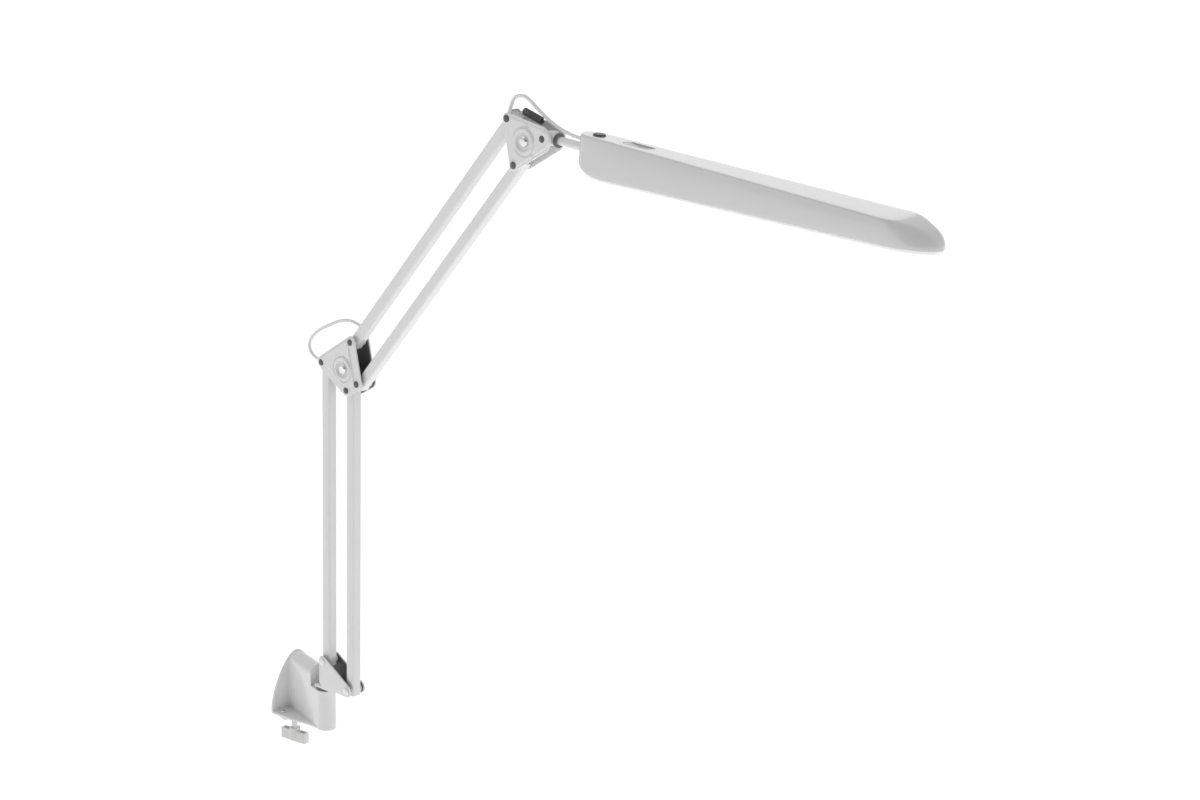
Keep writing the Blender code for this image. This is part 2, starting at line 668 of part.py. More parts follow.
def head_bottom(x):
    """Height of the head's lower edge: it rises to the nose, and rounds up at the back."""
    level = HEAD_TOP_Z - (0.0451 - (x - 0.040) * 0.0456)
    corner = HEAD_START + HEAD_CORNER_LENGTH
    if x >= corner:
        return level
    return level + HEAD_CORNER_RISE * (1 - math.sqrt(max(0, 1 - ((corner - x) / HEAD_CORNER_LENGTH) ** 2)))


def head_section(x, inset, drop, edge):
    """Points round one cross section, with small radii along the top. drop lowers the open underside."""
    wide, high, low = head_half_width(x) - inset, head_top(x) - inset, head_bottom(x) - drop
    radius = min(edge, wide * 0.6)
    turns = [math.radians(angle) for angle in (90, 45, 0)]
    corner = [(wide + radius * (math.sin(a) - 1), high + radius * (math.cos(a) - 1)) for a in turns]
    right = [(wide, low), *corner]
    return [Vector((x, y, z)) for y, z in [*right, *[(-y, z) for y, z in right[::-1]]]]


def loft(sections):
    """A closed solid through sections that have the same number of points."""

    def fill(made):
        rings = [[made.verts.new(point) for point in section] for section in sections]
        count = len(rings[0])
        for ring, following in zip(rings, rings[1:]):
            for index in range(count):
                after = (index + 1) % count
                made.faces.new((ring[index], ring[after], following[after], following[index]))
        made.faces.new(rings[0][::-1])
        made.faces.new(rings[-1])
        bmesh.ops.recalc_face_normals(made, faces=made.faces)

    return mesh_from(fill)


def head_stations(inset):
    """Places of the sections: close together in the round back and in the nose."""
    back = [HEAD_START + inset + HEAD_CORNER_LENGTH * (1 - math.cos(math.pi / 2 * k / 9)) for k in range(10)]
    nose = [NOSE_START + (HEAD_END - inset - NOSE_START) * math.sin(math.pi / 2 * k / 9) for k in range(10)]
    nose[-1] -= 0.0001
    back[0] += 0.0002
    middle = [0.12, 0.24, 0.36]
    return [*back, *middle, *nose]


def head_solid(inset, drop=0.0, edge=0.0022):
    return loft([head_section(x, inset, drop, edge) for x in head_stations(inset)])


def diffuser_solid():
    """The opal cover, which fills the head's open underside and stands out below its edge."""
    sections = []
    for x in head_stations(0.003):
        wide, edge = head_half_width(x) - 0.0026, head_bottom(x)
        low = edge - DIFFUSER_DROP
        right = [(wide - 0.0012, low), (wide, low + 0.0012), (wide, edge + 0.0006)]
        sections.append([Vector((x, y, z)) for y, z in [*right, *[(-y, z) for y, z in right[::-1]]]])
    return loft(sections)


def taper_outline(start, end, margin):
    """A flat outline inside the head between two distances, margin in from its sides."""
    left = [(x, head_half_width(x) - margin) for x in (start, (start + end) / 2, end)]
    return [*left, *[(x, -y) for x, y in left[::-1]]]


def sloped(mesh, x0):
    """Tips a flat piece about Y so that it lies along the head's rising lower edge."""
    slope = math.atan(0.0456)
    pivot = at((x0, 0, head_bottom(x0)))
    mesh.transform(pivot @ Matrix.Rotation(-slope, 4, "Y") @ pivot.inverted())
    return mesh


def make_head(base, cord_route):
    shade = add("shade", head_solid(0), base, WHITE_PLASTIC)
    cut(shade, head_solid(HEAD_WALL, drop=0.010, edge=0.0006))
    cut(shade, rod((0.03, 0, 0), (0.06, 0, 0), STEM_R + GAP, 24))
    cut(shade, rod((BUTTON_X, 0, 0.01), (BUTTON_X, 0, 0.03), BUTTON_R + 0.0004, 24))
    cut(shade, sheet([rocker_outline(ROCKER_X, 0.0004)], 0.010, 0.03, FLAT))
    inward = cord_route[-1] + (cord_route[-1] - cord_route[-2]).normalized() * 0.006
    cut(shade, tube([*cord_route, inward], CORD_R + 0.0006))

    stem = [(0.0036, 0.0640), (STEM_R, 0.0640), (STEM_R, 0.0055), (0.0036, 0.0055)]
    place = Matrix.Rotation(math.radians(90), 4, "Y")
    add("head_stem", turned(stem, place, 24), base, WHITE_PAINT)
    ring = [(STEM_R + GAP, 0.0580), (0.0080, 0.0580), (0.0080, 0.0550), (STEM_R + GAP, 0.0550)]
    add("stem_nut", turned(ring, place, 24), base, STEEL)

    top = HEAD_TOP_Z
    board = box((BUTTON_X - 0.006, -0.0100, top - 0.0175), (ROCKER_X + 0.015, 0.0100, top - 0.0159))
    switches = add("switch_board", board, base, BOARD)
    fuse(switches, box((BUTTON_X - 0.005, -0.0065, top - 0.0165), (BUTTON_X + 0.0065, 0.0065, top - 0.0070)))
    fuse(switches, box((ROCKER_X - 0.012, -0.0065, top - 0.0165), (ROCKER_X + 0.012, 0.0065, top - 0.0095)))

    tray_x = (0.172, 0.486)
    inner_x = HEAD_START + HEAD_CORNER_LENGTH
    edge = head_bottom(inner_x)
    tray = sheet([taper_outline(*tray_x, 0.0034)], edge + 0.0070, edge + 0.0082, FLAT)
    add("heat_sink_tray", sloped(tray, inner_x), base, ALUMINIUM)
    strip_outline = taper_outline(tray_x[0] + 0.006, tray_x[1] - 0.006, 0.0070)
    strip = sheet([strip_outline], edge + 0.0051, edge + 0.0067, FLAT)
    add("led_board", sloped(strip, inner_x), base, BOARD)
    add("diffuser", diffuser_solid(), base, OPAL)
    driver = box((0.0790, -0.0095, -0.0200), (0.1540, 0.0095, -0.0020), edge=0.001)
    add("led_driver", driver, base, WHITE_PLASTIC)


def rocker_outline(middle, margin=0.0):
    """The rocker's long oval about a middle, or its hole where a margin is given."""
    radius = ROCKER_WIDTH / 2
    reach = ROCKER_LENGTH / 2 - radius
    return round_hull(*[(middle + side * reach, 0, radius + margin) for side in (-1, 1)], sides=24)


def make_button(base):
    """The round button, from the top surface of the head."""
    button = [(0, 0.0020), (0.0045, 0.0019), (0.0064, 0.0012), (BUTTON_R, 0.0002)]
    add("power_button", turned([*button, (BUTTON_R, -0.0045), (0, -0.0045)]), base, BLACK_PLASTIC)


def make_rocker(base):
    """The dished rocker, from its pivot rod below the head's top."""
    top = ROCKER_DEPTH
    paddle = sheet([rocker_outline(0)], top - 0.0045, top - 0.0002, FLAT)
    rocker = add("dimmer_rocker", paddle, base, WHITE_PLASTIC)
    cut(rocker, rod((0, -0.02, top + 0.0850), (0, 0.02, top + 0.0850), 0.0870, 72))
    fuse(rocker, rod((0, -0.0070, 0), (0, 0.0070, 0), 0.0016, 12))


def main():
    clamp = frame("clamp_frame", place=(POST_AXIS_X, 0, FLOOR_TOP_Z))
    make_clamp(clamp)
    make_spindle(frame("spindle_frame", clamp, (SPINDLE_X, 0, 0)))

    swivel = frame("swivel_frame", clamp, turn=SWIVEL_REST, axis="Z")
    make_base_bracket(swivel)
    elbow_place = BASE_REAR + along(LOWER_LEAN, ARM_LOWER)
    route = elbow_cord_route()
    lower_end = along(LOWER_LEAN, -ARM_LOWER)
    rear = frame("lower_rear_frame", swivel, BASE_REAR, LOWER_LEAN)
    make_rail("lower_rear_rail", rear, ARM_LOWER, [("high", in_frame(route, lower_end, LOWER_LEAN)[12:])])
    front = frame("lower_front_frame", swivel, BASE_FRONT, LOWER_LEAN)
    make_rail("lower_front_rail", front, ARM_LOWER)

    elbow = frame("elbow_frame", swivel, elbow_place)
    make_elbow(elbow)
    add("elbow_cord", tube(smooth_route(route, 0.0065), CORD_R), elbow, WHITE_PLASTIC)
    top = frame("upper_top_frame", elbow, ELBOW_TOP, UPPER_LEAN)
    head_route = head_cord_route()
    upper_end = along(UPPER_LEAN, -ARM_UPPER)
    cuts = [("low", in_frame(route, ELBOW_TOP, UPPER_LEAN)[:5])]
    cuts.append(("high", in_frame(head_route, upper_end, UPPER_LEAN)[:6]))
    make_rail("upper_top_rail", top, ARM_UPPER, cuts)
    bottom = frame("upper_bottom_frame", elbow, ELBOW_FRONT, UPPER_LEAN)
    make_rail("upper_bottom_rail", bottom, ARM_UPPER)

    bracket = frame("head_bracket_frame", elbow, ELBOW_TOP + along(UPPER_LEAN, ARM_UPPER))
    make_head_bracket(bracket)
    add("head_cord", tube(smooth_route(head_route, 0.0065), CORD_R), bracket, WHITE_PLASTIC)
    tilt = frame("tilt_frame", bracket, HEAD_TILT, HEAD_DROOP)
    make_tilt_block(tilt)
    make_head(tilt, in_frame(head_route[-4:], HEAD_TILT, HEAD_DROOP))
    make_button(frame("button_frame", tilt, (BUTTON_X, 0, HEAD_TOP_Z)))
    make_rocker(frame("rocker_frame", tilt, (ROCKER_X, 0, HEAD_TOP_Z - ROCKER_DEPTH)))


main()
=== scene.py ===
"""Looks of the swing arm desk lamp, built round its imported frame.

Units are metres and +Z is up. Each arm piece is shaped in a frame of its own that stands on a joint, with X
and Z in the arm's plane, and is then moved into the lamp's frame.
"""

import json
import math
from collections import namedtuple

import bmesh
import bpy
import numpy as np
from mathutils import Matrix, Vector


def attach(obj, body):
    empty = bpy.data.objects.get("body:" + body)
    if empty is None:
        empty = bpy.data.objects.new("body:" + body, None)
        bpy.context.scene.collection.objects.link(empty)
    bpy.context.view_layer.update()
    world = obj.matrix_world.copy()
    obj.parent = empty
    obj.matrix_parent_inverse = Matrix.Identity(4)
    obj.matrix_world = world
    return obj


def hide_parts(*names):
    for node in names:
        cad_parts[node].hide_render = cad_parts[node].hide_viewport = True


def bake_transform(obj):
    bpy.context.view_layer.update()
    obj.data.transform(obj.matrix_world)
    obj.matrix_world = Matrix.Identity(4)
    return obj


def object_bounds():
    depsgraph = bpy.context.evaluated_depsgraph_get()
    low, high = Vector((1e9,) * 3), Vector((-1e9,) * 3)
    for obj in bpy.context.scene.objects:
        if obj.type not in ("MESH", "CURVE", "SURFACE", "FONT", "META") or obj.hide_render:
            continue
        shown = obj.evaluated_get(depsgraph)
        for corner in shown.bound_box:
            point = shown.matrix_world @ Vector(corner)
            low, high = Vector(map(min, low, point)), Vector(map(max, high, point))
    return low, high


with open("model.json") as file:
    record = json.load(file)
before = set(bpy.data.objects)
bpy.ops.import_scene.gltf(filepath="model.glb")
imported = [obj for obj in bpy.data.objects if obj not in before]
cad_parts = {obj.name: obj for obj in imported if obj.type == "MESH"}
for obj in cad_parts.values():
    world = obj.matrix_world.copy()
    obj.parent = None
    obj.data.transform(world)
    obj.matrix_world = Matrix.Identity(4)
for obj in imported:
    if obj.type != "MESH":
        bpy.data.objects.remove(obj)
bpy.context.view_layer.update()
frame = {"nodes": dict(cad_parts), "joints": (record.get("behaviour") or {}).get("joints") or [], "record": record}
nodes = frame["nodes"]
joints = {joint["name"]: joint for joint in frame["joints"]}

# Sizes shared with the solid model.
LOWER_LEAN = math.radians(1.35)
UPPER_LEAN = math.radians(42)
HEAD_DROOP = math.radians(5.47)
ARM_LOWER = 0.400
ARM_UPPER = 0.403
TUBE_SIZE = 0.014
TUBE_WALL = 0.0012
TUBE_PAST_PIN = 0.0073
PLATE_INNER_Y = 0.0105
PRESSED_THICK = 0.002
FLOOR_TOP_Z = -0.0267
CORD_R = 0.002


# ---- frames on the joints


def joint_place(name):
    return Vector(joints[name]["pos_m"])


lean_axis = Vector(joints["lower_lean"]["axis"])
SWIVEL = Matrix.Rotation(math.atan2(-lean_axis.x, lean_axis.y), 4, "Z")


def stand(name, lean=0.0):
    """The frame on a joint of the arms, turned into their plane and leant forward."""
    return Matrix.Translation(joint_place(name)) @ SWIVEL @ Matrix.Rotation(lean, 4, "Y")


post = joint_place("base_swivel")
CLAMP = Matrix.Translation((post.x, post.y, FLOOR_TOP_Z))
BRACKET = CLAMP @ SWIVEL
SPINDLE = Matrix.Translation((joint_place("spindle_turn").x, 0, FLOOR_TOP_Z))
ELBOW = stand("elbow_level")
HEAD_BRACKET = stand("head_level")
HEAD = stand("head_tilt", HEAD_DROOP)


def flat_offset(start, end):
    """Where one joint lies from another, as X and Z in the arm's plane."""
    gap = SWIVEL.inverted() @ (joint_place(end) - joint_place(start))
    return Vector((gap.x, 0, gap.z))


BASE_SPAN = flat_offset("lower_lean", "lower_front_lean")
ELBOW_TOP = flat_offset("elbow_level", "upper_lean")
ELBOW_FRONT = flat_offset("elbow_level", "upper_bottom_lean")
HEAD_TILT = flat_offset("head_level", "head_tilt")
HEAD_LOWER = ELBOW_FRONT - ELBOW_TOP
ELBOW_BOSS = Vector((0.0405, 0, -0.0017))
HEAD_BOSS = Vector((0.0268, 0, -0.0229))


# ---- materials


COLOUR_PATCHES, ROUGH_PATCHES = 14, 55


def finish(name, colour, roughness, metallic=0.0, **detail):
    """A procedural material.

    coat is the weight of its clear coat, spread how far the colour drifts, grain and relief the size and
    depth in metres of the surface's texture, rough_spread how much its roughness varies, streak a stretch of
    the grain, wear how much edges lighten, glow how much light soaks in, and shine the light it gives off.
    """
    made = bpy.data.materials.new(name)
    made.use_nodes = True
    tree = made.node_tree
    shader = tree.nodes["Principled BSDF"]
    shader.inputs["Metallic"].default_value = metallic
    shader.inputs["Coat Weight"].default_value = detail.get("coat", 0.0)
    shader.inputs["Coat Roughness"].default_value = 0.06
    shader.inputs["Emission Color"].default_value = (1, 1, 1, 1)
    shader.inputs["Emission Strength"].default_value = detail.get("shine", 0.0)
    if detail.get("glow"):
        shader.inputs["Subsurface Weight"].default_value = detail["glow"]
        shader.inputs["Subsurface Radius"].default_value = (0.004, 0.004, 0.004)
        shader.inputs["Subsurface Scale"].default_value = 0.5
    where = tree.nodes.new("ShaderNodeTexCoord")
    stretch = tree.nodes.new("ShaderNodeMapping")
    stretch.inputs["Scale"].default_value = detail.get("streak", (1, 1, 1))
    tree.links.new(where.outputs["Object"], stretch.inputs["Vector"])

    def noise(scale, octaves):
        found = tree.nodes.new("ShaderNodeTexNoise")
        found.inputs["Scale"].default_value = scale
        found.inputs["Detail"].default_value = octaves
        tree.links.new(stretch.outputs["Vector"], found.inputs["Vector"])
        return found.outputs["Fac"]

    def remap(source, low, high):
        found = tree.nodes.new("ShaderNodeMapRange")
        found.inputs["From Min"].default_value = 0.3
        found.inputs["From Max"].default_value = 0.7
        found.inputs["To Min"].default_value = low
        found.inputs["To Max"].default_value = high
        tree.links.new(source, found.inputs["Value"])
        return found.outputs["Result"]

    spread = detail.get("spread", 0.02)
    tint = tree.nodes.new("ShaderNodeMix")
    tint.data_type = "RGBA"
    tint.inputs["A"].default_value = (*[c * (1 - spread) for c in colour], 1)
    tint.inputs["B"].default_value = (*[min(1, c * (1 + spread)) for c in colour], 1)
    tree.links.new(remap(noise(COLOUR_PATCHES, 3), 0, 1), tint.inputs["Factor"])
    result = tint.outputs["Result"]
    if detail.get("wear"):
        edges = tree.nodes.new("ShaderNodeNewGeometry")
        ramp = tree.nodes.new("ShaderNodeMapRange")
        ramp.inputs["From Min"].default_value = 0.53
        ramp.inputs["From Max"].default_value = 0.62
        ramp.inputs["To Max"].default_value = detail["wear"]
        tree.links.new(edges.outputs["Pointiness"], ramp.inputs["Value"])
        worn = tree.nodes.new("ShaderNodeMix")
        worn.data_type = "RGBA"
        worn.inputs["B"].default_value = (*[min(1, c * 1.6 + 0.05) for c in colour], 1)
        tree.links.new(ramp.outputs["Result"], worn.inputs["Factor"])
        tree.links.new(result, worn.inputs["A"])
        result = worn.outputs["Result"]
    tree.links.new(result, shader.inputs["Base Color"])
    change = detail.get("rough_spread", 0.04)
    uneven = remap(noise(ROUGH_PATCHES, 4), roughness - change, roughness + change)
    tree.links.new(uneven, shader.inputs["Roughness"])
    bump = tree.nodes.new("ShaderNodeBump")
    bump.inputs["Strength"].default_value = 0.4
    bump.inputs["Distance"].default_value = detail.get("relief", 0.00002)
    tree.links.new(noise(1 / detail.get("grain", 0.002), 2), bump.inputs["Height"])
    tree.links.new(bump.outputs["Normal"], shader.inputs["Normal"])
    return made


LOOKS = {
    "white_paint": finish("white_powder_coat", (0.8, 0.8, 0.8), 0.16, coat=0.6, spread=0.012, grain=0.0016),
    "white_pins": finish("white_enamel", (0.92, 0.92, 0.92), 0.1, coat=0.8, spread=0.01, grain=0.002),
    # The shade's white is set darker than the arms' paint to stand in for the shade and dark reflection along its
    # sides: painted shade.
    "white_shade": finish("white_lacquer_with_painted_shade", (0.7, 0.7, 0.7), 0.16, coat=0.6, spread=0.01, grain=0.004),
    "white_plastic": finish("white_moulding", (0.74, 0.74, 0.73), 0.3, spread=0.02, grain=0.0006, glow=0.05),
    "black_plastic": finish(
        "black_moulding", (0.11, 0.11, 0.113), 0.4, spread=0.15, grain=0.0005, relief=0.00004, wear=0.25
    ),
    "steel": finish(
        "plated_steel", (0.78, 0.78, 0.79), 0.2, 1.0, spread=0.06, grain=0.0012, rough_spread=0.08
    ),
    "black_steel": finish("blackened_steel", (0.1, 0.1, 0.103), 0.32, spread=0.25, grain=0.0008, wear=0.35),
    "rubber": finish("black_rubber", (0.03, 0.03, 0.03), 0.75, spread=0.2, grain=0.0007, relief=0.00012),
    "cord": finish("cord_sheath", (0.84, 0.84, 0.84), 0.36, spread=0.02, grain=0.0009, relief=0.00003),
    # The opal cover gives off a little light of its own though the lamp stands unlit: painted brightness that
    # keeps its band white.
    "opal": finish("opal_diffuser", (0.9, 0.9, 0.9), 0.4, spread=0.01, grain=0.0008, glow=0.2, shine=0.12),
    "aluminium": finish(
        "rolled_aluminium", (0.75, 0.75, 0.76), 0.3, 1.0, spread=0.05, streak=(1, 14, 14), grain=0.003
    ),
    "board": finish("board_laminate", (0.62, 0.64, 0.6), 0.45, spread=0.06, grain=0.0012, relief=0.00003),
    "driver_case": finish("driver_case", (0.03, 0.03, 0.033), 0.5, spread=0.1, grain=0.0006, relief=0.00005),
}
SLOT_OF = {entry["node"]: entry["material_slot"] for entry in frame["record"]["subparts"]}


# ---- shapes


def new_mesh(fill):
    made = bmesh.new()
    fill(made)
    bmesh.ops.recalc_face_normals(made, faces=made.faces)
    mesh = bpy.data.meshes.new("shape")
    made.to_mesh(mesh)
    made.free()
    return mesh


def put(mesh, place):
    mesh.transform(place)
    return mesh


def applied(mesh, *modifiers):
    """The mesh after modifiers, each given as (type, {setting: value})."""
    holder = bpy.data.objects.new("holder", mesh)
    bpy.context.scene.collection.objects.link(holder)
    for kind, settings in modifiers:
        modifier = holder.modifiers.new(kind, kind)
        for setting, value in settings.items():
            setattr(modifier, setting, value)
    bpy.context.view_layer.update()
    result = bpy.data.meshes.new_from_object(holder.evaluated_get(bpy.context.evaluated_depsgraph_get()))
    bpy.data.objects.remove(holder)
    return result


def combined(mesh, tools, operation):
    for tool in tools:
        helper = bpy.data.objects.new("tool", tool)
        bpy.context.scene.collection.objects.link(helper)
        mesh = applied(mesh, ("BOOLEAN", {"object": helper, "operation": operation, "solver": "EXACT"}))
        bpy.data.objects.remove(helper)
    return mesh


def cut(mesh, *tools):
    return combined(mesh, tools, "DIFFERENCE")


def fuse(mesh, *tools):
    return combined(mesh, tools, "UNION")


def bevelled(mesh, width, segments=3, angle=30):
    limit = {"limit_method": "ANGLE", "angle_limit": math.radians(angle)}
    return applied(mesh, ("BEVEL", {"width": width, "segments": segments, **limit}))


def cast(mesh, voxel, rounds):
    """The mesh as one casting, with its inner and outer corners softened."""
    remesh = ("REMESH", {"mode": "VOXEL", "voxel_size": voxel})
    return applied(mesh, remesh, ("SMOOTH", {"factor": 0.5, "iterations": rounds}))


def box(low, high, edge=0.0, segments=3):
    low, high = Vector(low), Vector(high)
    place = Matrix.Translation((low + high) / 2) @ Matrix.Diagonal((*(high - low), 1))

    def fill(made):
        bmesh.ops.create_cube(made, size=1, matrix=place)
        if edge:
            bevel = {"offset": edge, "segments": segments, "profile": 0.5, "affect": "EDGES"}
            bmesh.ops.bevel(made, geom=made.edges[:], **bevel)

    return new_mesh(fill)


def rod(start, end, radius, sides=64):
    start, end = Vector(start), Vector(end)
    turn = (end - start).to_track_quat("Z", "Y").to_matrix().to_4x4()
    place = Matrix.Translation((start + end) / 2) @ turn

    def fill(made):
        size = {"radius1": radius, "radius2": radius, "depth": (end - start).length}
        bmesh.ops.create_cone(made, cap_ends=True, segments=sides, matrix=place, **size)

    return new_mesh(fill)


def turned(profile, steps=56):
    """A solid turned about Z from (radius, height) pairs, or a ring if the first radius isn't 0."""
    ring = profile[0][0] > 0
    angles = [math.tau * k / steps for k in range(steps)]

    def fill(made):
        rows = []
        for radius, height in profile:
            if radius > 0:
                rim = [(radius * math.cos(a), radius * math.sin(a), height) for a in angles]
                rows.append([made.verts.new(point) for point in rim])
            else:
                rows.append([made.verts.new((0, 0, height))] * steps)
        pairs = list(zip(rows, rows[1:]))
        if ring:
            pairs.append((rows[-1], rows[0]))
        for upper, lower in pairs:
            for k in range(steps):
                spots = (upper[k], upper[(k + 1) % steps], lower[(k + 1) % steps], lower[k])
                corners = list(dict.fromkeys(spots))
                if len(corners) > 2:
                    made.faces.new(corners)

    return new_mesh(fill)


def rounded(profile, radius, count=4):
    """The profile with each of its inner corners rounded."""
    spots = [Vector(p) for p in profile]
    line = [spots[0]]
    for before, corner, after in zip(spots, spots[1:], spots[2:]):
        reach = min(radius, (before - corner).length * 0.45, (after - corner).length * 0.45)
        start = corner + (before - corner).normalized() * reach
        end = corner + (after - corner).normalized() * reach
        for k in range(count + 1):
            t = k / count
            line.append((1 - t) ** 2 * start + 2 * t * (1 - t) * corner + t**2 * end)
    return [tuple(p) for p in [*line, spots[-1]]]


def circle(centre, radius, sides=48):
    steps = [math.tau * step / sides for step in range(sides)]
    return [(centre[0] + radius * math.cos(a), centre[1] + radius * math.sin(a)) for a in steps]


def turn_of(a, b, c):
    return (b[0] - a[0]) * (c[1] - a[1]) - (b[1] - a[1]) * (c[0] - a[0])


def round_hull(*corners, sides=72):
    """The outline of a plate that wraps round circles, each given as (a, b, radius)."""
    points = sorted({p for a, b, radius in corners for p in circle((a, b), radius, sides)})

    def half(run):
        line = []
        for point in run:
            while len(line) > 1 and turn_of(line[-2], line[-1], point) <= 1e-11:
                line.pop()
            line.append(point)
        return line[:-1]

    return half(points) + half(points[::-1])


UPRIGHT = Matrix.Rotation(math.radians(90), 4, "X")
FLAT = Matrix.Identity(4)
ACROSS = Matrix(((0, 0, 1, 0), (1, 0, 0, 0), (0, 1, 0, 0), (0, 0, 0, 1)))


def sheet(loops, low, high, facing=UPRIGHT, edge=0.0004):
    """Flat outlines, the first outside and the rest holes, thickened between two depths with round edges."""
    curve = bpy.data.curves.new("outline", "CURVE")
    curve.dimensions = "2D"
    curve.fill_mode = "BOTH"
    curve.extrude = (high - low) / 2 - edge
    curve.bevel_depth = edge
    curve.bevel_resolution = 2
    curve.offset = -edge
    for loop in loops:
        line = curve.splines.new("POLY")
        line.points.add(len(loop) - 1)
        line.use_cyclic_u = True
        for spot, (a, b) in zip(line.points, loop):
            spot.co = (a, b, 0, 1)
    source = bpy.data.objects.new("outline", curve)
    bpy.context.scene.collection.objects.link(source)
    depth = -(low + high) / 2 if facing is UPRIGHT else (low + high) / 2
    source.matrix_world = facing @ Matrix.Translation((0, 0, depth))
    bpy.context.view_layer.update()
    mesh = bpy.data.meshes.new_from_object(source.evaluated_get(bpy.context.evaluated_depsgraph_get()))
    place = source.matrix_world.copy()
    bpy.data.objects.remove(source)

    def fill(made):
        made.from_mesh(mesh)
        bmesh.ops.remove_doubles(made, verts=made.verts, dist=1e-6)

    return put(new_mesh(fill), place)


def loft(sections, closed_ends=True):
    def fill(made):
        rings = [[made.verts.new(point) for point in section] for section in sections]
        count = len(rings[0])
        for ring, following in zip(rings, rings[1:]):
            for k in range(count):
                made.faces.new((ring[k], ring[(k + 1) % count], following[(k + 1) % count], following[k]))
        if closed_ends:
            made.faces.new(rings[0][::-1])
            made.faces.new(rings[-1])

    return new_mesh(fill)


def smooth_route(points, step):
    """Points about a step apart along one smooth curve through the given points."""
    spots = [Vector(p) for p in points]
    spots = [2 * spots[0] - spots[1], *spots, 2 * spots[-1] - spots[-2]]
    route = []
    for before, start, end, after in zip(spots, spots[1:], spots[2:], spots[3:]):
        count = max(1, round((end - start).length / step))
        for index in range(count):
            t = index / count
            bend = (2 * before - 5 * start + 4 * end - after) * t**2
            route.append(
                0.5 * (2 * start + (end - before) * t + bend + (3 * start - before - 3 * end + after) * t**3)
            )
    return [*route, spots[-2]]


def tube(points, radius, sides=20):
    """A round wire along the points, with rounded ends."""
    points = [Vector(p) for p in points]
    side = Vector((0, 1, 0))
    sections = []
    for index, point in enumerate(points):
        ahead = points[min(index + 1, len(points) - 1)] - points[max(index - 1, 0)]
        ahead.normalize()
        side = (side - ahead * side.dot(ahead)).normalized()
        other = ahead.cross(side)
        angles = [math.tau * k / sides for k in range(sides)]
        sections.append([point + (side * math.cos(a) + other * math.sin(a)) * radius for a in angles])
    return loft(sections)


def coil(start, end, radius, turns, per_turn=20):
    start, end = Vector(start), Vector(end)
    turn = (end - start).to_track_quat("Z", "Y")
    points = []
    for index in range(turns * per_turn + 1):
        angle = math.tau * index / per_turn
        arm = Vector((radius * math.cos(angle), radius * math.sin(angle), 0))
        points.append(start.lerp(end, index / (turns * per_turn)) + turn @ arm)
    return points


def joined(*meshes):
    """Meshes put in one object, where they only touch or stand inside each other."""

    def fill(made):
        for mesh in meshes:
            made.from_mesh(mesh)

    return new_mesh(fill)


def piece(name, mesh, place, body, slot, *replaced, crease=38):
    """A finished piece, moved into place, riding on its body and standing for the CAD nodes named."""
    put(mesh, place)
    mesh.materials.clear()
    mesh.materials.append(LOOKS[slot])
    mesh.polygons.foreach_set("material_index", [0] * len(mesh.polygons))
    mesh.shade_smooth()
    mesh.set_sharp_from_angle(angle=math.radians(crease))
    made = bpy.data.objects.new(name, mesh)
    bpy.context.scene.collection.objects.link(made)
    if body:
        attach(made, body)
    if replaced:
        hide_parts(*replaced)
    return made


def at(point):
    return Matrix.Translation(Vector(point))


def xz(point):
    return (point[0], point[2])


# ---- clamp

BODY_HALF = 0.013
RIDGE_Z = 0.064
WALL = 0.004
PLATE_X, PLATE_HALF, PLATE_TOP = -0.083, 0.0395, 0.079
JAW_TIP = -0.107
SCREW_X = -0.0925
STOCK_HALF = 0.015


def floor_outline():
    """The floor, from a wide end under the end plate to a round nose under the socket."""
    arc = [math.radians(90 - 180 * k / 40) for k in range(41)]
    nose = [(BODY_HALF * math.cos(a), BODY_HALF * math.sin(a)) for a in arc]
    flank = [(PLATE_X + 0.006, PLATE_HALF), (-0.045, 0.030), (-0.020, 0.0182), (-0.006, BODY_HALF + 0.0012)]
    back = (PLATE_X, PLATE_HALF)
    return [back, *flank, *nose, *[(x, -y) for x, y in flank[::-1]], (PLATE_X, -PLATE_HALF)]


def arch_outline(count=40):
    """The end plate's arch, as (y, z): a curve up each side to the crown."""
    half = []
    for index in range(count + 1):
        t = index / count
        y = PLATE_HALF * ((1 - t) ** 3 + 3 * t * (1 - t) ** 2) + 0.0165 * 3 * t * t * (1 - t)
        z = 0.027 * 3 * t * (1 - t) ** 2 + PLATE_TOP * (3 * t * t * (1 - t) + t**3)
        half.append((y, z))
    return [(PLATE_HALF, -WALL), *half, *[(-y, z) for y, z in half[-2::-1]], (-PLATE_HALF, -WALL)]


def make_casting():
    """The clamp's floor, end plate, ridged body, socket and upper jaw with its web, all one casting."""
    behind = PLATE_X + 0.002
    web = [(behind, 0.033), (behind, 0.056), (JAW_TIP + 0.004, 0.033)]
    shapes = [
        sheet([floor_outline()], -WALL, 0, FLAT, 0.001),
        sheet([arch_outline()], PLATE_X, PLATE_X + WALL, ACROSS, 0.0012),
        box((PLATE_X + 0.001, -BODY_HALF, -0.0035), (0.001, BODY_HALF, RIDGE_Z), 0.0003),
        rod((PLATE_X + 0.001, 0, RIDGE_Z), (0.004, 0, RIDGE_Z), BODY_HALF, 96),
        rod((0, 0, -WALL), (0, 0, 0.053), BODY_HALF, 96),
        box((JAW_TIP, -0.011, 0.029), (behind, 0.011, 0.035), 0.001),
        sheet([web], -0.003, 0.003),
    ]
    body = cast(joined(*shapes), 0.00075, 3)
    body = cut(body, rod((0, 0, 0.051), (0, 0, 0.1), 0.022, 96))
    body = cut(body, rod((0, 0, 0.005), (0, 0, 0.06), 0.0095, 48))
    piece("clamp_casting", body, CLAMP, "clamp", "white_paint", "clamp_body", crease=50)


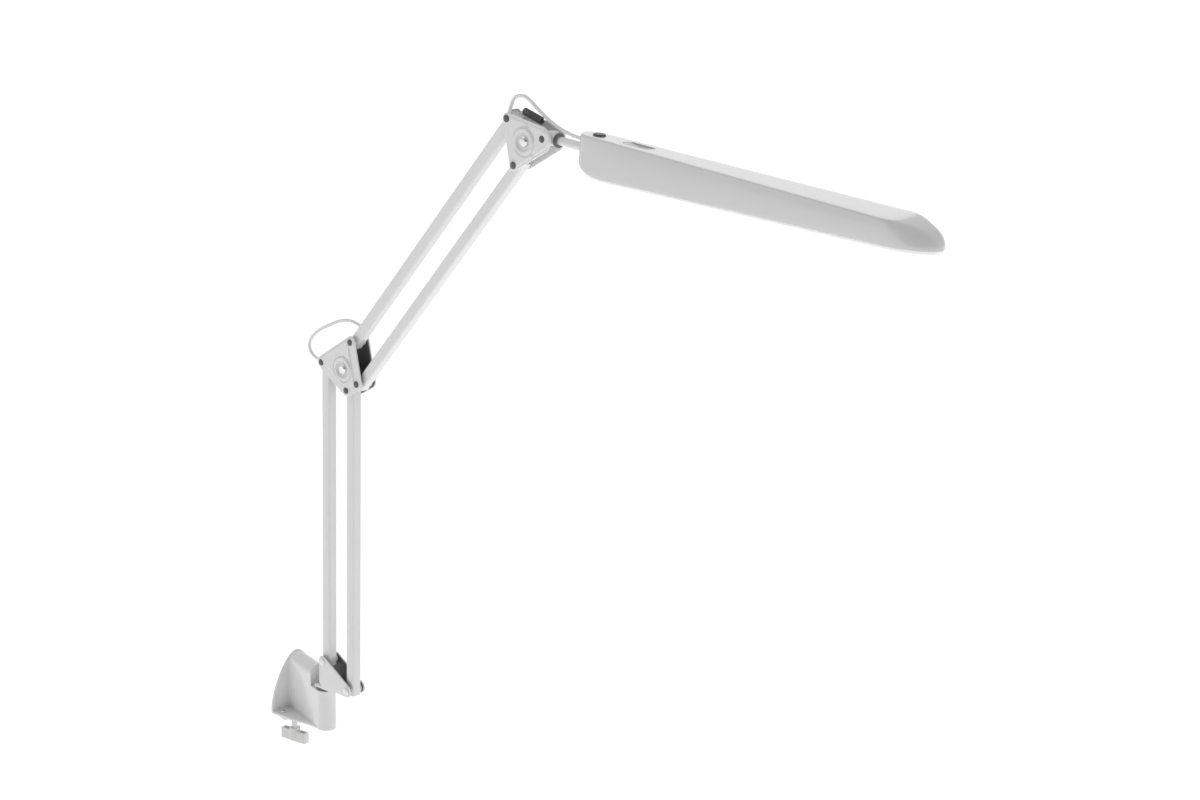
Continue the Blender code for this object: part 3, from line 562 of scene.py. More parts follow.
def make_lower_jaw():
    """The cranked strip bolted under the floor, with the boss that the clamp screw runs in."""
    boss = [(0, -0.018), (0.008, -0.018), (0.008, -0.010), (0, -0.010)]
    shapes = [
        box((-0.078, -0.032, -0.0083), (-0.058, 0.032, -0.0043), 0.0008),
        box((-0.0833, -STOCK_HALF, -0.0175), (-0.0793, STOCK_HALF, -0.0045), 0.0008),
        box((-0.0823, -0.0148, -0.0081), (-0.077, 0.0148, -0.0047), 0.0003),
        box((JAW_TIP, -0.0152, -0.018), (-0.0798, 0.0152, -0.014), 0.0012),
        put(turned(rounded(boss, 0.0008)), at((SCREW_X, 0, 0))),
    ]
    bent = cast(joined(*shapes), 0.0006, 3)
    bent = cut(bent, rod((SCREW_X, 0, -0.03), (SCREW_X, 0, 0), 0.0043, 40))
    piece("lower_jaw_pressing", bent, CLAMP, "clamp", "white_paint", "lower_jaw", crease=50)


def make_jaw_screws():
    """Two round-headed screws with crossed slots."""
    dome = [(0, 0.0022), (0.0026, 0.0019), (0.0040, 0.0009), (0.0040, 0.0001), (0.0021, 0.0001)]
    for side, word in ((1, "left"), (-1, "right")):
        screw = turned([*rounded(dome, 0.0006), (0.0021, -0.0080), (0, -0.0080)], 40)
        for turn in (0.4, 0.4 + math.pi / 2):
            slot = box((-0.0021, -0.0004, 0.0011), (0.0021, 0.0004, 0.003))
            screw = cut(screw, put(slot, Matrix.Rotation(turn, 4, "Z")))
        name = f"jaw_screw_{word}"
        place = CLAMP @ at((-0.069, side * 0.0285, 0))
        piece(name + "_head", screw, place, "clamp", "steel", name)


def make_clamp_fittings():
    """The rubber under the upper jaw, and the bush that the arm's post turns in."""
    pad = box((JAW_TIP + 0.001, -0.0105, 0.0267), (PLATE_X - 0.0005, 0.0105, 0.0287), 0.0006)
    piece("upper_pad", pad, CLAMP, "clamp", "rubber", "upper_jaw_pad")
    bush = [(0.0063, 0.0543), (0.0125, 0.0543), (0.0125, 0.0513), (0.0092, 0.0513)]
    bush += [(0.0092, 0.0056), (0.0063, 0.0056)]
    piece("swivel_bush", turned(bush, 64), CLAMP, "clamp", "black_plastic", "socket_bush")


THREAD_CREST, THREAD_ROOT, THREAD_PITCH = 0.004, 0.0034, 0.002
THREAD_TOP_Z = -0.0115


def thread(steps=32, turns=14):
    """The clamp screw's thread: one band wound down its core."""
    sunk = THREAD_ROOT - 0.0006
    profile = [(sunk, 0.0), (THREAD_ROOT, 0.0001), (THREAD_CREST, 0.0008), (THREAD_CREST, 0.0011)]
    profile += [(THREAD_ROOT, 0.0018), (sunk, 0.0019)]
    sections = []
    for index in range(steps * turns + 1):
        angle, fall = math.tau * index / steps, THREAD_PITCH * index / steps
        across = Vector((math.cos(angle), math.sin(angle), 0))
        sections.append([across * r + Vector((0, 0, THREAD_TOP_Z - fall - z)) for r, z in profile])
    return loft(sections)


def make_screw():
    stem = [(0, -0.0062), (0.0032, -0.0062), (0.0036, -0.0066), (0.0036, -0.0072), (0.0024, -0.0072)]
    stem += [(0.0024, -0.0098), (0.0032, -0.0100), (THREAD_ROOT, -0.0112), (THREAD_ROOT, -0.052)]
    stem += [(0.0032, -0.0523), (0, -0.0523)]
    mesh = joined(turned(stem, 40), thread())
    piece("spindle_thread", mesh, SPINDLE, "spindle", "steel", "clamp_spindle")


def make_handle():
    """The moulded bar on the screw, hollowed on both sides of its hub."""
    turn = Matrix.Rotation(math.radians(20), 4, "Z")
    grip = box((-0.021, -0.0045, -0.055), (0.021, 0.0045, -0.0405))
    grip = fuse(put(grip, turn), rod((0, 0, -0.054), (0, 0, -0.0365), 0.0072, 64))
    for side in (1, -1):
        ends = sorted((side * 0.0088, side * 0.0192))
        grip = cut(grip, put(box((ends[0], -0.0031, -0.052), (ends[1], 0.0031, 0)), turn))
    grip = bevelled(grip, 0.0006, 3, 35)
    grip = cut(grip, rod((0, 0, -0.0523), (0, 0, 0), 0.0043, 40))
    piece("clamp_handle_grip", grip, SPINDLE, "spindle", "white_plastic", "clamp_handle")


def make_pressure_pad():
    """The swivelling cup on the screw's tip, and its ribbed rubber face."""
    cup = [(0.0045, -0.0057), (0.0088, -0.0057), (0.0088, -0.0085), (0.0080, -0.0097), (0.0028, -0.0097)]
    cup += [(0.0028, -0.0075), (0.0045, -0.0075), (0.0045, -0.0057)]
    piece("pad_cup", turned(rounded(cup, 0.0004)), SPINDLE, "pressure_pad", "steel", "pressure_pad")
    face = [(0, -0.0034), (0.0022, -0.0034), (0.0026, -0.0038), (0.0030, -0.0034), (0.0052, -0.0034)]
    face += [(0.0056, -0.0038), (0.0060, -0.0034), (0.0076, -0.0034), (0.0084, -0.0041), (0.0084, -0.0054)]
    face += [(0, -0.0054)]
    piece("pad_face", turned(face), SPINDLE, "pressure_pad", "rubber", "pressure_pad_rubber")


def make_clamp():
    make_casting()
    make_lower_jaw()
    make_jaw_screws()
    make_clamp_fittings()
    make_screw()
    make_handle()
    make_pressure_pad()


# ---- base bracket


def domed_pin(half_length, head_r, head_h, pin_r=0.003):
    """A pin across the arms with a domed head on each end."""
    top = half_length + 0.0003
    dome = np.linspace(0, 1.57, 9)
    rise = [(head_r * math.sin(a), top + head_h * (0.15 + 0.85 * math.cos(a))) for a in dome]
    half = [*rise, (head_r, top), (pin_r, top)]
    return put(turned([*half, *[(r, -h) for r, h in half[::-1]]], 40), UPRIGHT)


def make_base_bracket():
    """The folded bracket with its two pins, and the flanged post that it turns on."""
    rear = Vector((0.0087, 0, 0.0938))
    front = rear + BASE_SPAN
    shape = round_hull((rear.x, rear.z, 0.0075), (rear.x, front.z, 0.0075), (front.x, front.z, 0.0085))
    holes = [circle(xz(p), 0.0033, 32) for p in (rear, front)]
    outer = PLATE_INNER_Y + PRESSED_THICK
    depths = [sorted((side * PLATE_INNER_Y, side * outer)) for side in (1, -1)]
    walls = [sheet([shape, *holes], low, high, edge=0.0007) for low, high in depths]
    seat = box((-0.0085, -outer + 0.0001, 0.0548), (0.030, outer - 0.0001, 0.0588), 0.0012)
    bend = cast(joined(*walls, seat), 0.0005, 2)
    body = "base_bracket"
    piece("base_bracket_pressing", bend, BRACKET, body, "white_paint", "base_bracket", crease=50)
    for number, pin in enumerate((rear, front), 1):
        name = f"base_pin_{number}"
        dome = domed_pin(outer, 0.0050, 0.0021)
        piece(name + "_dome", dome, BRACKET @ at(pin), body, "white_pins", name)
    collar = [(0, 0.0622), (0.0070, 0.0618), (0.0082, 0.0608), (0.0082, 0.0591)]
    collar += [(0.0060, 0.0591), (0.0060, 0.0055), (0, 0.0055)]
    piece("post_flange", turned(rounded(collar, 0.0006)), BRACKET, body, "steel", "bracket_post")


# ---- rails


QUARTERS = ((1, 1), (-1, 1), (-1, -1), (1, -1))


def square_ring(half, radius, z, crown=0.0):
    """Points round a square with rounded corners, its sides bowed out by crown."""
    points = []
    for quarter, (side_x, side_y) in enumerate(QUARTERS):
        for k in range(9):
            a = math.radians(90 * quarter + 90 * k / 8)
            x = (half - radius) * side_x + radius * math.cos(a)
            y = (half - radius) * side_y + radius * math.sin(a)
            points.append((x, y))
        x, y = points[-1]
        out_x, out_y = ((0, 1), (-1, 0), (0, -1), (1, 0))[quarter]
        span = 2 * (half - radius)
        for t in (k / 6 for k in range(1, 6)):
            bow = crown * 4 * t * (1 - t)
            points.append((x - out_y * span * t + out_x * bow, y + out_x * span * t + out_y * bow))
    return [Vector((x, y, z)) for x, y in points]


def rail_tube(length):
    """A square tube, open at both ends, that runs past the pin at each end."""
    half, inner = TUBE_SIZE / 2, TUBE_SIZE / 2 - TUBE_WALL
    low, high = -TUBE_PAST_PIN, length + TUBE_PAST_PIN
    lip, crown = 0.0004, 0.00012
    outside = [(low, -lip), (low + lip, 0)]
    outside += [(low + (high - low) * k / 12, 0) for k in range(1, 12)]
    outside += [(high - lip, 0), (high, -lip)]
    rings = [square_ring(half - crown + out, 0.0024, z, crown) for z, out in outside]
    rings += [square_ring(inner, 0.0012, high), square_ring(inner, 0.0012, low), rings[0]]
    return applied(loft(rings, closed_ends=False), ("WELD", {"merge_threshold": 0.00001}))


def end_bush():
    """The moulded end piece: a block inside the tube and a bush round the pin."""
    insert = box((-0.0056, -0.0056, -0.0058), (0.0056, 0.0056, 0.020), 0.0006)
    half = [(0.0033, 0.0091), (0.0054, 0.0091), (0.0060, 0.0085)]
    bush = turned([*half, *[(r, -h) for r, h in half[::-1]]], 48)
    return joined(insert, put(bush, UPRIGHT))


def make_rail(name, base, length, body, cord_cuts=()):
    tube_mesh = rail_tube(length)
    for route in cord_cuts:
        tube_mesh = cut(tube_mesh, tube(route, CORD_R + 0.0006, 24))
    piece(name + "_tube", tube_mesh, base, body, "white_paint", name)
    for end, height, turn in (("_low_end", 0, 0), ("_high_end", length, math.pi)):
        place = base @ at((0, 0, height)) @ Matrix.Rotation(turn, 4, "Y")
        piece(name + end + "_bush", end_bush(), place, body, "white_plastic", name + end)


def along(lean, distance, offset=0.0):
    """A point beside a rail: distance up it from its pin, offset to its left."""
    across = Vector((-math.cos(lean), 0, math.sin(lean)))
    return Vector((math.sin(lean), 0, math.cos(lean))) * distance + across * offset


def elbow_cord_route():
    """From inside the upper rail, out of its side, over the elbow and down into the rear lower rail."""
    inside = ((0.034, 0), (0.026, 0.0008), (0.0205, 0.0045))
    start = [ELBOW_TOP + along(UPPER_LEAN, distance, offset) for distance, offset in inside]
    loop = [(0.0575, 0.0545), (0.0490, 0.0565), (0.0370, 0.0570), (0.0220, 0.0540), (0.0055, 0.0474)]
    loop += [(-0.0140, 0.0381), (-0.0295, 0.0275), (-0.0365, 0.0185), (-0.0375, 0.0110), (-0.0335, 0.0040)]
    loop += [(-0.0255, -0.0005), (-0.0165, -0.0024), (-0.0095, -0.0052), (-0.0048, -0.0110)]
    loop += [(-0.0018, -0.0190), (-0.0005, -0.0290)]
    return [*start, *[Vector((x, 0, z)) for x, z in loop]]


def head_cord_route():
    """From the upper rail's top end, in a loop over the head bracket and down into the back of the head."""
    inside = ((-0.030, 0), (-0.018, 0.0004), (-0.0095, 0.0035), (-0.0035, 0.0090))
    start = [along(UPPER_LEAN, distance, offset) for distance, offset in inside]
    loop = [(-0.0052, 0.0135), (-0.0020, 0.0200), (0.0035, 0.0238), (0.0110, 0.0252), (0.0180, 0.0240)]
    loop += [(0.0255, 0.0200), (0.0385, 0.0112), (0.0530, 0.0022), (0.0690, -0.0052), (0.0850, -0.0100)]
    loop += [(0.1000, -0.0128), (0.1075, -0.0136)]
    return [*start, *[Vector((x, 0, z)) for x, z in loop]]


def in_frame(route, origin, lean):
    """The route in the frame of a rail whose pin is at origin."""
    back = Matrix.Rotation(-lean, 3, "Y")
    return [back @ (point - origin) for point in route]


def make_rails():
    elbow_route, head_route = elbow_cord_route(), head_cord_route()
    lower_end, upper_end = along(LOWER_LEAN, -ARM_LOWER), along(UPPER_LEAN, -ARM_UPPER)
    rear, front = stand("lower_lean", LOWER_LEAN), stand("lower_front_lean", LOWER_LEAN)
    top, bottom = stand("upper_lean", UPPER_LEAN), stand("upper_bottom_lean", UPPER_LEAN)
    rear_cuts = [in_frame(elbow_route, lower_end, LOWER_LEAN)[12:]]
    top_cuts = [in_frame(elbow_route, ELBOW_TOP, UPPER_LEAN)[:5]]
    top_cuts.append(in_frame(head_route, upper_end, UPPER_LEAN)[:6])
    make_rail("lower_rear_rail", rear, ARM_LOWER, "lower_rear", rear_cuts)
    make_rail("lower_front_rail", front, ARM_LOWER, "lower_front")
    make_rail("upper_top_rail", top, ARM_UPPER, "upper_top", top_cuts)
    make_rail("upper_bottom_rail", bottom, ARM_UPPER, "upper_bottom")


# ---- pressed joint plates


# A pressed plate: its corners are (x, z, radius) anticlockwise round its outline, its margins the width of
# the flat border inside each side, and its dimples hollows placed as (x, z) from the middle of its boss.
Plate = namedtuple("Plate", "corners margins pins boss dimples")
BOSS_R = 0.0165
HOLE_R = 0.0043
MIDDLE_H, RING_H, RIM_H, PIN_SEAT_H = 0.0013, 0.0024, 0.0008, 0.0006
BOWL_DEPTH, DIMPLE_DEPTH = 0.0007, 0.0016
EDGE_ROUND = 0.0008
SECTORS = 288


def smooth_step(value):
    t = np.clip(value, 0, 1)
    return t * t * (3 - 2 * t)


def edge_distances(x, z, corners):
    """How far points lie inside each side of the hull round the corner circles, going round it."""
    found = []
    for (ax, az, ar), (bx, bz, br) in zip(corners, corners[1:] + corners[:1]):
        length = math.hypot(bx - ax, bz - az)
        ux, uz = (bx - ax) / length, (bz - az) / length
        t = np.clip(((x - ax) * ux + (z - az) * uz) / length, 0, 1)
        outward = (x - ax) * uz - (z - az) * ux
        found.append(ar + (br - ar) * t - outward)
    return found


def rim_distances(outline, centre, angles):
    """How far the outline lies from the centre, in the direction of each angle."""
    step = np.roll(outline, -1, axis=0) - outline
    dx, dz = step[:, 0], step[:, 1]
    ax, az = outline[:, 0] - centre[0], outline[:, 1] - centre[1]
    found = []
    for angle in angles:
        ux, uz = math.cos(angle), math.sin(angle)
        across = ux * dz - uz * dx
        across[np.abs(across) < 1e-14] = 1e-14
        ray = (ax * dz - az * dx) / across
        part = (ax * uz - az * ux) / across
        found.append(ray[(part >= -1e-9) & (part <= 1 + 1e-9) & (ray > 0)].min())
    return np.array(found)


def plate_relief(plate, x, z, radius):
    """How far the plate's face stands out at each point, where radius is the distance from its boss."""
    raised = np.ones_like(x)
    for distance, margin in zip(edge_distances(x, z, plate.corners), plate.margins):
        raised *= smooth_step((distance - margin) / 0.0020)
    ring = smooth_step((BOSS_R - radius) / 0.0026) * smooth_step((radius - BOSS_R + 0.0076) / 0.0030)
    middle = MIDDLE_H * raised * smooth_step((radius - BOSS_R + 0.0005) / 0.0016)
    height = np.maximum(middle, RING_H * ring)
    height -= BOWL_DEPTH * smooth_step((BOSS_R - 0.0066 - radius) / 0.0020)
    height += RIM_H * np.exp(-(((radius - 0.0078) / 0.0006) ** 2))
    for pin in plate.pins:
        near = np.hypot(x - pin[0], z - pin[2])
        height = np.maximum(height, PIN_SEAT_H * smooth_step((0.0066 - near) / 0.0012))
    heading = np.arctan2(z - plate.boss[2], x - plate.boss[0])
    for dx, dz in plate.dimples:
        away, turn = math.hypot(dx, dz), math.atan2(dz, dx)
        swing = (heading - turn + math.pi) % math.tau - math.pi
        shape = ((radius - away) / 0.0017) ** 2 + (swing * away / 0.0034) ** 2
        height -= DIMPLE_DEPTH * np.exp(-shape)
    return height


def pressed_plate(plate, side):
    """A side plate pressed from sheet: rings of points from the boss's hole out to the rounded outline."""
    bx, bz = xz(plate.boss)
    angles = np.arange(SECTORS) * math.tau / SECTORS
    reach = rim_distances(np.array(round_hull(*plate.corners, sides=120)), (bx, bz), angles)
    core = BOSS_R + 0.0025
    inner = np.arange(HOLE_R, core, 0.00042)
    outer = np.concatenate([np.linspace(0.02, 0.93, 40), [0.955, 0.975, 0.988, 0.996, 1.0]])
    radius = np.array([np.full(SECTORS, r) for r in inner] + [core + (reach - core) * t for t in outer])
    x, z = bx + radius * np.cos(angles), bz + radius * np.sin(angles)
    border = np.clip((reach - radius) * 0.97, 0, EDGE_ROUND)
    drop = EDGE_ROUND - np.sqrt(np.maximum(EDGE_ROUND**2 - (EDGE_ROUND - border) ** 2, 0))
    front = PLATE_INNER_Y + PRESSED_THICK + plate_relief(plate, x, z, radius) - drop
    back = np.full(SECTORS, PLATE_INNER_Y + 0.0001)
    rows = [*zip(x, front, z), (x[-1], back, z[-1]), (x[0], back, z[0])]

    def fill(made):
        rings = [[made.verts.new((a, side * b, c)) for a, b, c in zip(*row)] for row in rows]
        for ring, following in zip(rings, [*rings[1:], rings[0]]):
            for k in range(SECTORS):
                after = (k + 1) % SECTORS
                made.faces.new((ring[k], ring[after], following[after], following[k]))

    return new_mesh(fill)


def make_joint(prefix, base, plate):
    """Both side plates of a joint, with its pins, its screw and its nut."""
    for side, word in ((-1, "near"), (1, "far")):
        name = f"{prefix}_plate_{word}"
        piece(name + "_pressing", pressed_plate(plate, side), base, prefix, "white_paint", name, crease=50)
    outer = PLATE_INNER_Y + PRESSED_THICK
    for number, pin in enumerate(plate.pins, 1):
        name = f"{prefix}_pin_{number}"
        mesh = domed_pin(outer + 0.0005, 0.0042, 0.0014)
        piece(name + "_dome", mesh, base @ at(pin), prefix, "black_steel", name)
    face = outer + 0.0003
    head = [(0, face + 0.0028), (0.0042, face + 0.0025), (0.0060, face + 0.0012), (0.0064, face)]
    head.append((0.0040, face))
    bolt = turned([*rounded(head, 0.0008), (0.0040, -face - 0.0050), (0, -face - 0.0050)], 64)
    place = base @ at(plate.boss)
    piece(prefix + "_screw", put(bolt, UPRIGHT), place, prefix, "steel", prefix + "_bolt")
    nut = sheet([circle((0, 0), 0.0074, 6), circle((0, 0), HOLE_R, 32)], face, face + 0.0040, edge=0.0003)
    piece(prefix + "_hex_nut", bevelled(nut, 0.0003), place, prefix, "steel", prefix + "_nut")


def make_elbow():
    """Four-cornered plates: two pins for the lower arm, two for the upper."""
    pins = (Vector((0, 0, 0)), BASE_SPAN, ELBOW_TOP, ELBOW_FRONT)
    corners = [(0, 0, 0.0080), (*xz(BASE_SPAN), 0.0080), (*xz(ELBOW_FRONT), 0.0085), (*xz(ELBOW_TOP), 0.0078)]
    margins = (0.0095, 0.0085, 0.0105, 0.002)
    make_joint("elbow", ELBOW, Plate(corners, margins, pins, ELBOW_BOSS, ()))


def make_head_bracket():
    """Three-cornered plates: two pins for the upper arm, one for the tilt block, and the spring between."""
    pins = (Vector((0, 0, 0)), HEAD_LOWER, HEAD_TILT)
    corners = [(0, 0, 0.0066), (*xz(HEAD_LOWER), 0.0066), (0.0515, -0.0185, 0.0150)]
    dimples = ((0.0068, 0.0181), (0.0146, -0.0125))
    margins = (0.0110, 0.002, 0.002)
    make_joint("head_bracket", HEAD_BRACKET, Plate(corners, margins, pins, HEAD_BOSS, dimples))
    start, end = Vector((0.0155, 0, 0.0086)), Vector((0.0425, 0, 0.0002))
    wire = [start - Vector((0.0030, 0, 0)), *coil(start, end, 0.0036, 13), end + Vector((0.0020, 0, 0))]
    spring = tube(wire, 0.0008, 12)
    piece("balance_spring", spring, HEAD_BRACKET, "head_bracket", "black_steel", "head_spring")


# ---- head

# X runs forward from the tilt pin. The half width and the depth are those at DATUM_X, and change from there.
HEAD_START, HEAD_END, HEAD_TOP = 0.050, 0.5180, 0.0173
NOSE_START, NOSE_ROUND = 0.464, 0.054
CORNER_LENGTH, CORNER_RISE = 0.042, 0.0265
BUTTON_X, ROCKER_X = 0.0716, 0.1285
BUTTON_R, STEM_R = 0.007, 0.005
ROCKER_HALF = 0.0115
ROCKER_DISH_R, ROCKER_DISH_UP = 0.0870, 0.0850
DATUM_X, DATUM_HALF, DATUM_DEPTH = 0.040, 0.0152, 0.0451
WIDENING, THINNING = 0.0322, 0.0456
BACK_ROUND = 0.0150
NOSE_FALL, NOSE_SOFTNESS = 0.0215, 0.022
SIDE_CROWN = 0.0012


def half_width(x):
    """Half the head's width: it widens forward, with a rounded back and a longer rounded nose."""
    wide = DATUM_HALF + (x - DATUM_X) * WIDENING
    back, nose = HEAD_START + BACK_ROUND, HEAD_END - NOSE_ROUND
    if x < back:
        return wide * math.sqrt(max(0, 1 - ((back - x) / BACK_ROUND) ** 2))
    if x > nose:
        return wide * math.sqrt(max(0, 1 - ((x - nose) / NOSE_ROUND) ** 2))
    return wide


def top_of(x):
    """The height of the head's top, which is level and then curves down along the nose."""
    if x <= NOSE_START:
        return HEAD_TOP
    t = (x - NOSE_START) / (HEAD_END - NOSE_START)
    return HEAD_TOP - NOSE_FALL * (1 - math.sqrt(max(0, 1 - t * t)))


def bottom_of(x):
    """The height of the head's lower edge: it rises forward, and curves up at the back corner."""
    level = HEAD_TOP - (DATUM_DEPTH - (x - DATUM_X) * THINNING)
    corner = HEAD_START + CORNER_LENGTH
    if x >= corner:
        return level
    return level + CORNER_RISE * (1 - math.sqrt(max(0, 1 - ((corner - x) / CORNER_LENGTH) ** 2)))


def head_section(x, inset, drop, edge, foot=0.0006):
    """Points round one cross section: soft along its top edges, and rolled in along its open lower edges."""
    wide, high, low = half_width(x) - inset, top_of(x) - inset, bottom_of(x) - drop
    wide = max(wide, 0.0003)
    soft = max(0, (x - NOSE_START) / (HEAD_END - NOSE_START))
    radius = min(edge + NOSE_SOFTNESS * soft, wide * (0.6 + 0.35 * soft), (high - low) * (0.4 + 0.45 * soft))
    roll = min(foot, wide * 0.3, (high - low) * (0.2 - 0.1 * soft))
    crown = SIDE_CROWN * min(1, max(0, x - HEAD_START - 0.01) / 0.05) * min(1, (HEAD_END - x) / 0.08)
    turn = [math.pi / 2 * (1 - k / 6) for k in range(7)]
    corner = [(wide - radius + radius * math.sin(a), high - radius + radius * math.cos(a)) for a in turn]
    steps = [k / 8 for k in range(1, 8)]
    sides = [(wide + crown * 4 * t * (1 - t), low + roll + (high - radius - low - roll) * t) for t in steps]
    lower = [(wide - roll + roll * math.cos(a), low + roll - roll * math.sin(a)) for a in (1.571, 0.785, 0.0)]
    top = [((wide - radius) * s, high) for s in (0.66, 0.33)]
    right = [*lower, *sides, *corner, *top]
    return [Vector((x, y, z)) for y, z in [*right, (0, high), *[(-y, z) for y, z in right[::-1]]]]


def stations(inset):
    """Where the head's cross sections stand, closer together towards both ends."""
    bends = [math.cos(math.pi / 2 * k / 26) for k in range(27)]
    back = [HEAD_START + inset + CORNER_LENGTH * (1 - 0.999 * bend) for bend in bends]
    nose = [NOSE_START + (HEAD_END - inset - NOSE_START) * math.sin(math.pi / 2 * k / 30) for k in range(31)]
    nose[-1] -= 0.00004
    return [*back, *np.linspace(back[-1], NOSE_START, 24)[1:-1], *nose]


def lens_section(x):
    """Points round the opal cover, which stands out below the shade's edge and follows its rounded back."""
    wide, edge = max(half_width(x) - 0.0024, 0.0004), bottom_of(x)
    low, roll = edge - 0.0036, min(0.0016, wide * 0.4)
    turn = [math.pi / 2 * k / 5 for k in range(6)]
    right = [(wide - roll + roll * math.sin(a), low + roll - roll * math.cos(a)) for a in turn]
    right.append((wide, edge + 0.0006))
    return [Vector((x, y, z)) for y, z in [*right, *[(-y, z) for y, z in right[::-1]]]]


def head_solid(inset, drop=0.0, edge=0.0022, foot=0.0006):
    return loft([head_section(x, inset, drop, edge, foot) for x in stations(inset)])


def rocker_ends(extra=0.0):
    return [(ROCKER_X + side * ROCKER_HALF, 0, 0.0085 + extra) for side in (-1, 1)]


def make_shade():
    """The folded shell, open below, with holes for the stem, the button, the rocker and the cord."""
    shade = cut(head_solid(0), head_solid(0.002, drop=0.010, edge=0.0008, foot=0.0001))
    shade = cut(shade, rod((0.03, 0, 0), (0.06, 0, 0), STEM_R + 0.0003, 48))
    shade = cut(shade, rod((BUTTON_X, 0, 0.01), (BUTTON_X, 0, 0.03), BUTTON_R + 0.0004, 64))
    shade = cut(shade, sheet([round_hull(*rocker_ends(0.0004))], 0.010, 0.03, FLAT, 0.0001))
    route = in_frame(head_cord_route()[-4:], HEAD_TILT, HEAD_DROOP)
    inward = route[-1] + (route[-1] - route[-2]).normalized() * 0.006
    shade = cut(shade, tube([*route, inward], CORD_R + 0.0005, 24))
    piece("shade_shell", shade, HEAD, "head", "white_shade", "shade", crease=42)


def make_stem():
    """The stem, and the tilt block and washer that it turns in."""
    place = HEAD @ Matrix.Rotation(math.radians(90), 4, "Y")
    stem = [(0.0036, 0.0640), (STEM_R, 0.0640), (STEM_R, 0.0055), (0.0036, 0.0055), (0.0036, 0.0640)]
    piece("stem_tube", turned(rounded(stem, 0.0004), 64), place, "head", "white_paint", "head_stem")
    block = sheet([circle((0, 0), 0.0085)], -0.0091, 0.0091, edge=0.0006)
    block = fuse(block, rod((0, 0, 0), (0.0112, 0, 0), 0.0076))
    block = cut(block, rod((0, -0.02, 0), (0, 0.02, 0), 0.0033, 40))
    block = cut(block, rod((0.005, 0, 0), (0.02, 0, 0), 0.0053, 48))
    piece("tilt_block_casting", block, HEAD, "tilt", "white_paint", "tilt_block")
    washer = [(0.0054, 0.0148), (0.0082, 0.0148), (0.0082, 0.0114), (0.0054, 0.0114), (0.0054, 0.0148)]
    piece("tilt_washer", turned(rounded(washer, 0.0005)), place, "tilt", "black_plastic")


def make_button():
    top, name = HEAD_TOP, "power_button"
    cap = [(0, top + 0.0016), (0.0040, top + 0.0017), (0.0062, top + 0.0019), (BUTTON_R, top + 0.0010)]
    cap += [(BUTTON_R, top - 0.0045), (0, top - 0.0045)]
    place = HEAD @ at((BUTTON_X, 0, 0))
    piece("button_cap", turned(rounded(cap, 0.0007), 64), place, name, "black_plastic", name)


def make_rocker():
    """The dished dimmer paddle, with a raised dot at each end."""
    dish_z = HEAD_TOP + ROCKER_DISH_UP
    paddle = sheet([round_hull(*rocker_ends())], HEAD_TOP - 0.0045, HEAD_TOP - 0.0002, FLAT, 0.0002)
    paddle = cut(paddle, rod((ROCKER_X, -0.02, dish_z), (ROCKER_X, 0.02, dish_z), ROCKER_DISH_R, 200))
    dot_out = ROCKER_HALF + 0.001
    level = dish_z - math.sqrt(ROCKER_DISH_R**2 - dot_out**2)
    for side in (1, -1):
        dot = turned([(0, 0.0003), (0.0008, 0.0002), (0.0011, 0), (0, -0.0001)], 24)
        paddle = joined(paddle, put(dot, at((ROCKER_X + side * dot_out, 0, level))))
    name = "dimmer_rocker"
    piece("rocker_paddle", bevelled(paddle, 0.0003, 2, 50), HEAD, name, "white_plastic", name)


def make_head():
    make_shade()
    make_stem()
    make_button()
    make_rocker()
    lens = loft([lens_section(x) for x in stations(0.0028)])
    piece("opal_lens", lens, HEAD, "head", "opal", "diffuser", crease=50)


# ---- cords


def make_cords():
    """The two loops, each split where it crosses from one joint to the next."""
    elbow = [ELBOW @ point for point in smooth_route(elbow_cord_route(), 0.0025)]
    middle = len(elbow) // 2
    low = piece("elbow_cord_lower", tube(elbow[middle:], CORD_R), FLAT, None, "cord", "elbow_cord")
    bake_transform(low)
    high = piece("elbow_cord_upper", tube(elbow[: middle + 1], CORD_R), FLAT, None, "cord")
    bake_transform(high)

    head = [HEAD_BRACKET @ point for point in smooth_route(head_cord_route(), 0.0025)]
    split = [len(head) * part // 10 for part in (4, 8)]
    first = piece("head_cord_rail", tube(head[: split[0] + 1], CORD_R), FLAT, None, "cord", "head_cord")
    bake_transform(first)
    second = piece("head_cord_tilt", tube(head[split[0] : split[1] + 1], CORD_R), FLAT, None, "cord")
    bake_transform(second)
    third = piece("head_cord_shade", tube(head[split[1] :], CORD_R), FLAT, None, "cord")
    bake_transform(third)


# ---- nodes kept as they are, stage and camera


def dress_nodes():
    """Each CAD node that still shows gets its own finish and smooth shading."""
    for name, node in nodes.items():
        node.data.materials.clear()
        node.data.materials.append(LOOKS[SLOT_OF[name]])
        node.data.shade_smooth()
        node.data.set_sharp_from_angle(angle=math.radians(38))


def area_light(name, place, size, power, target=(0.32, 0.1, 0.4)):
    data = bpy.data.lights.new(name, "AREA")
    data.shape = "RECTANGLE"
    data.size, data.size_y = size
    data.energy = power
    light = bpy.data.objects.new(name, data)
    bpy.context.scene.collection.objects.link(light)
    light.location = place
    light.rotation_euler = (Vector(target) - Vector(place)).to_track_quat("-Z", "Y").to_euler()


TOWARDS_VIEWER = (0.77, -0.62, -0.15)
WORLD_LIGHT = 0.85


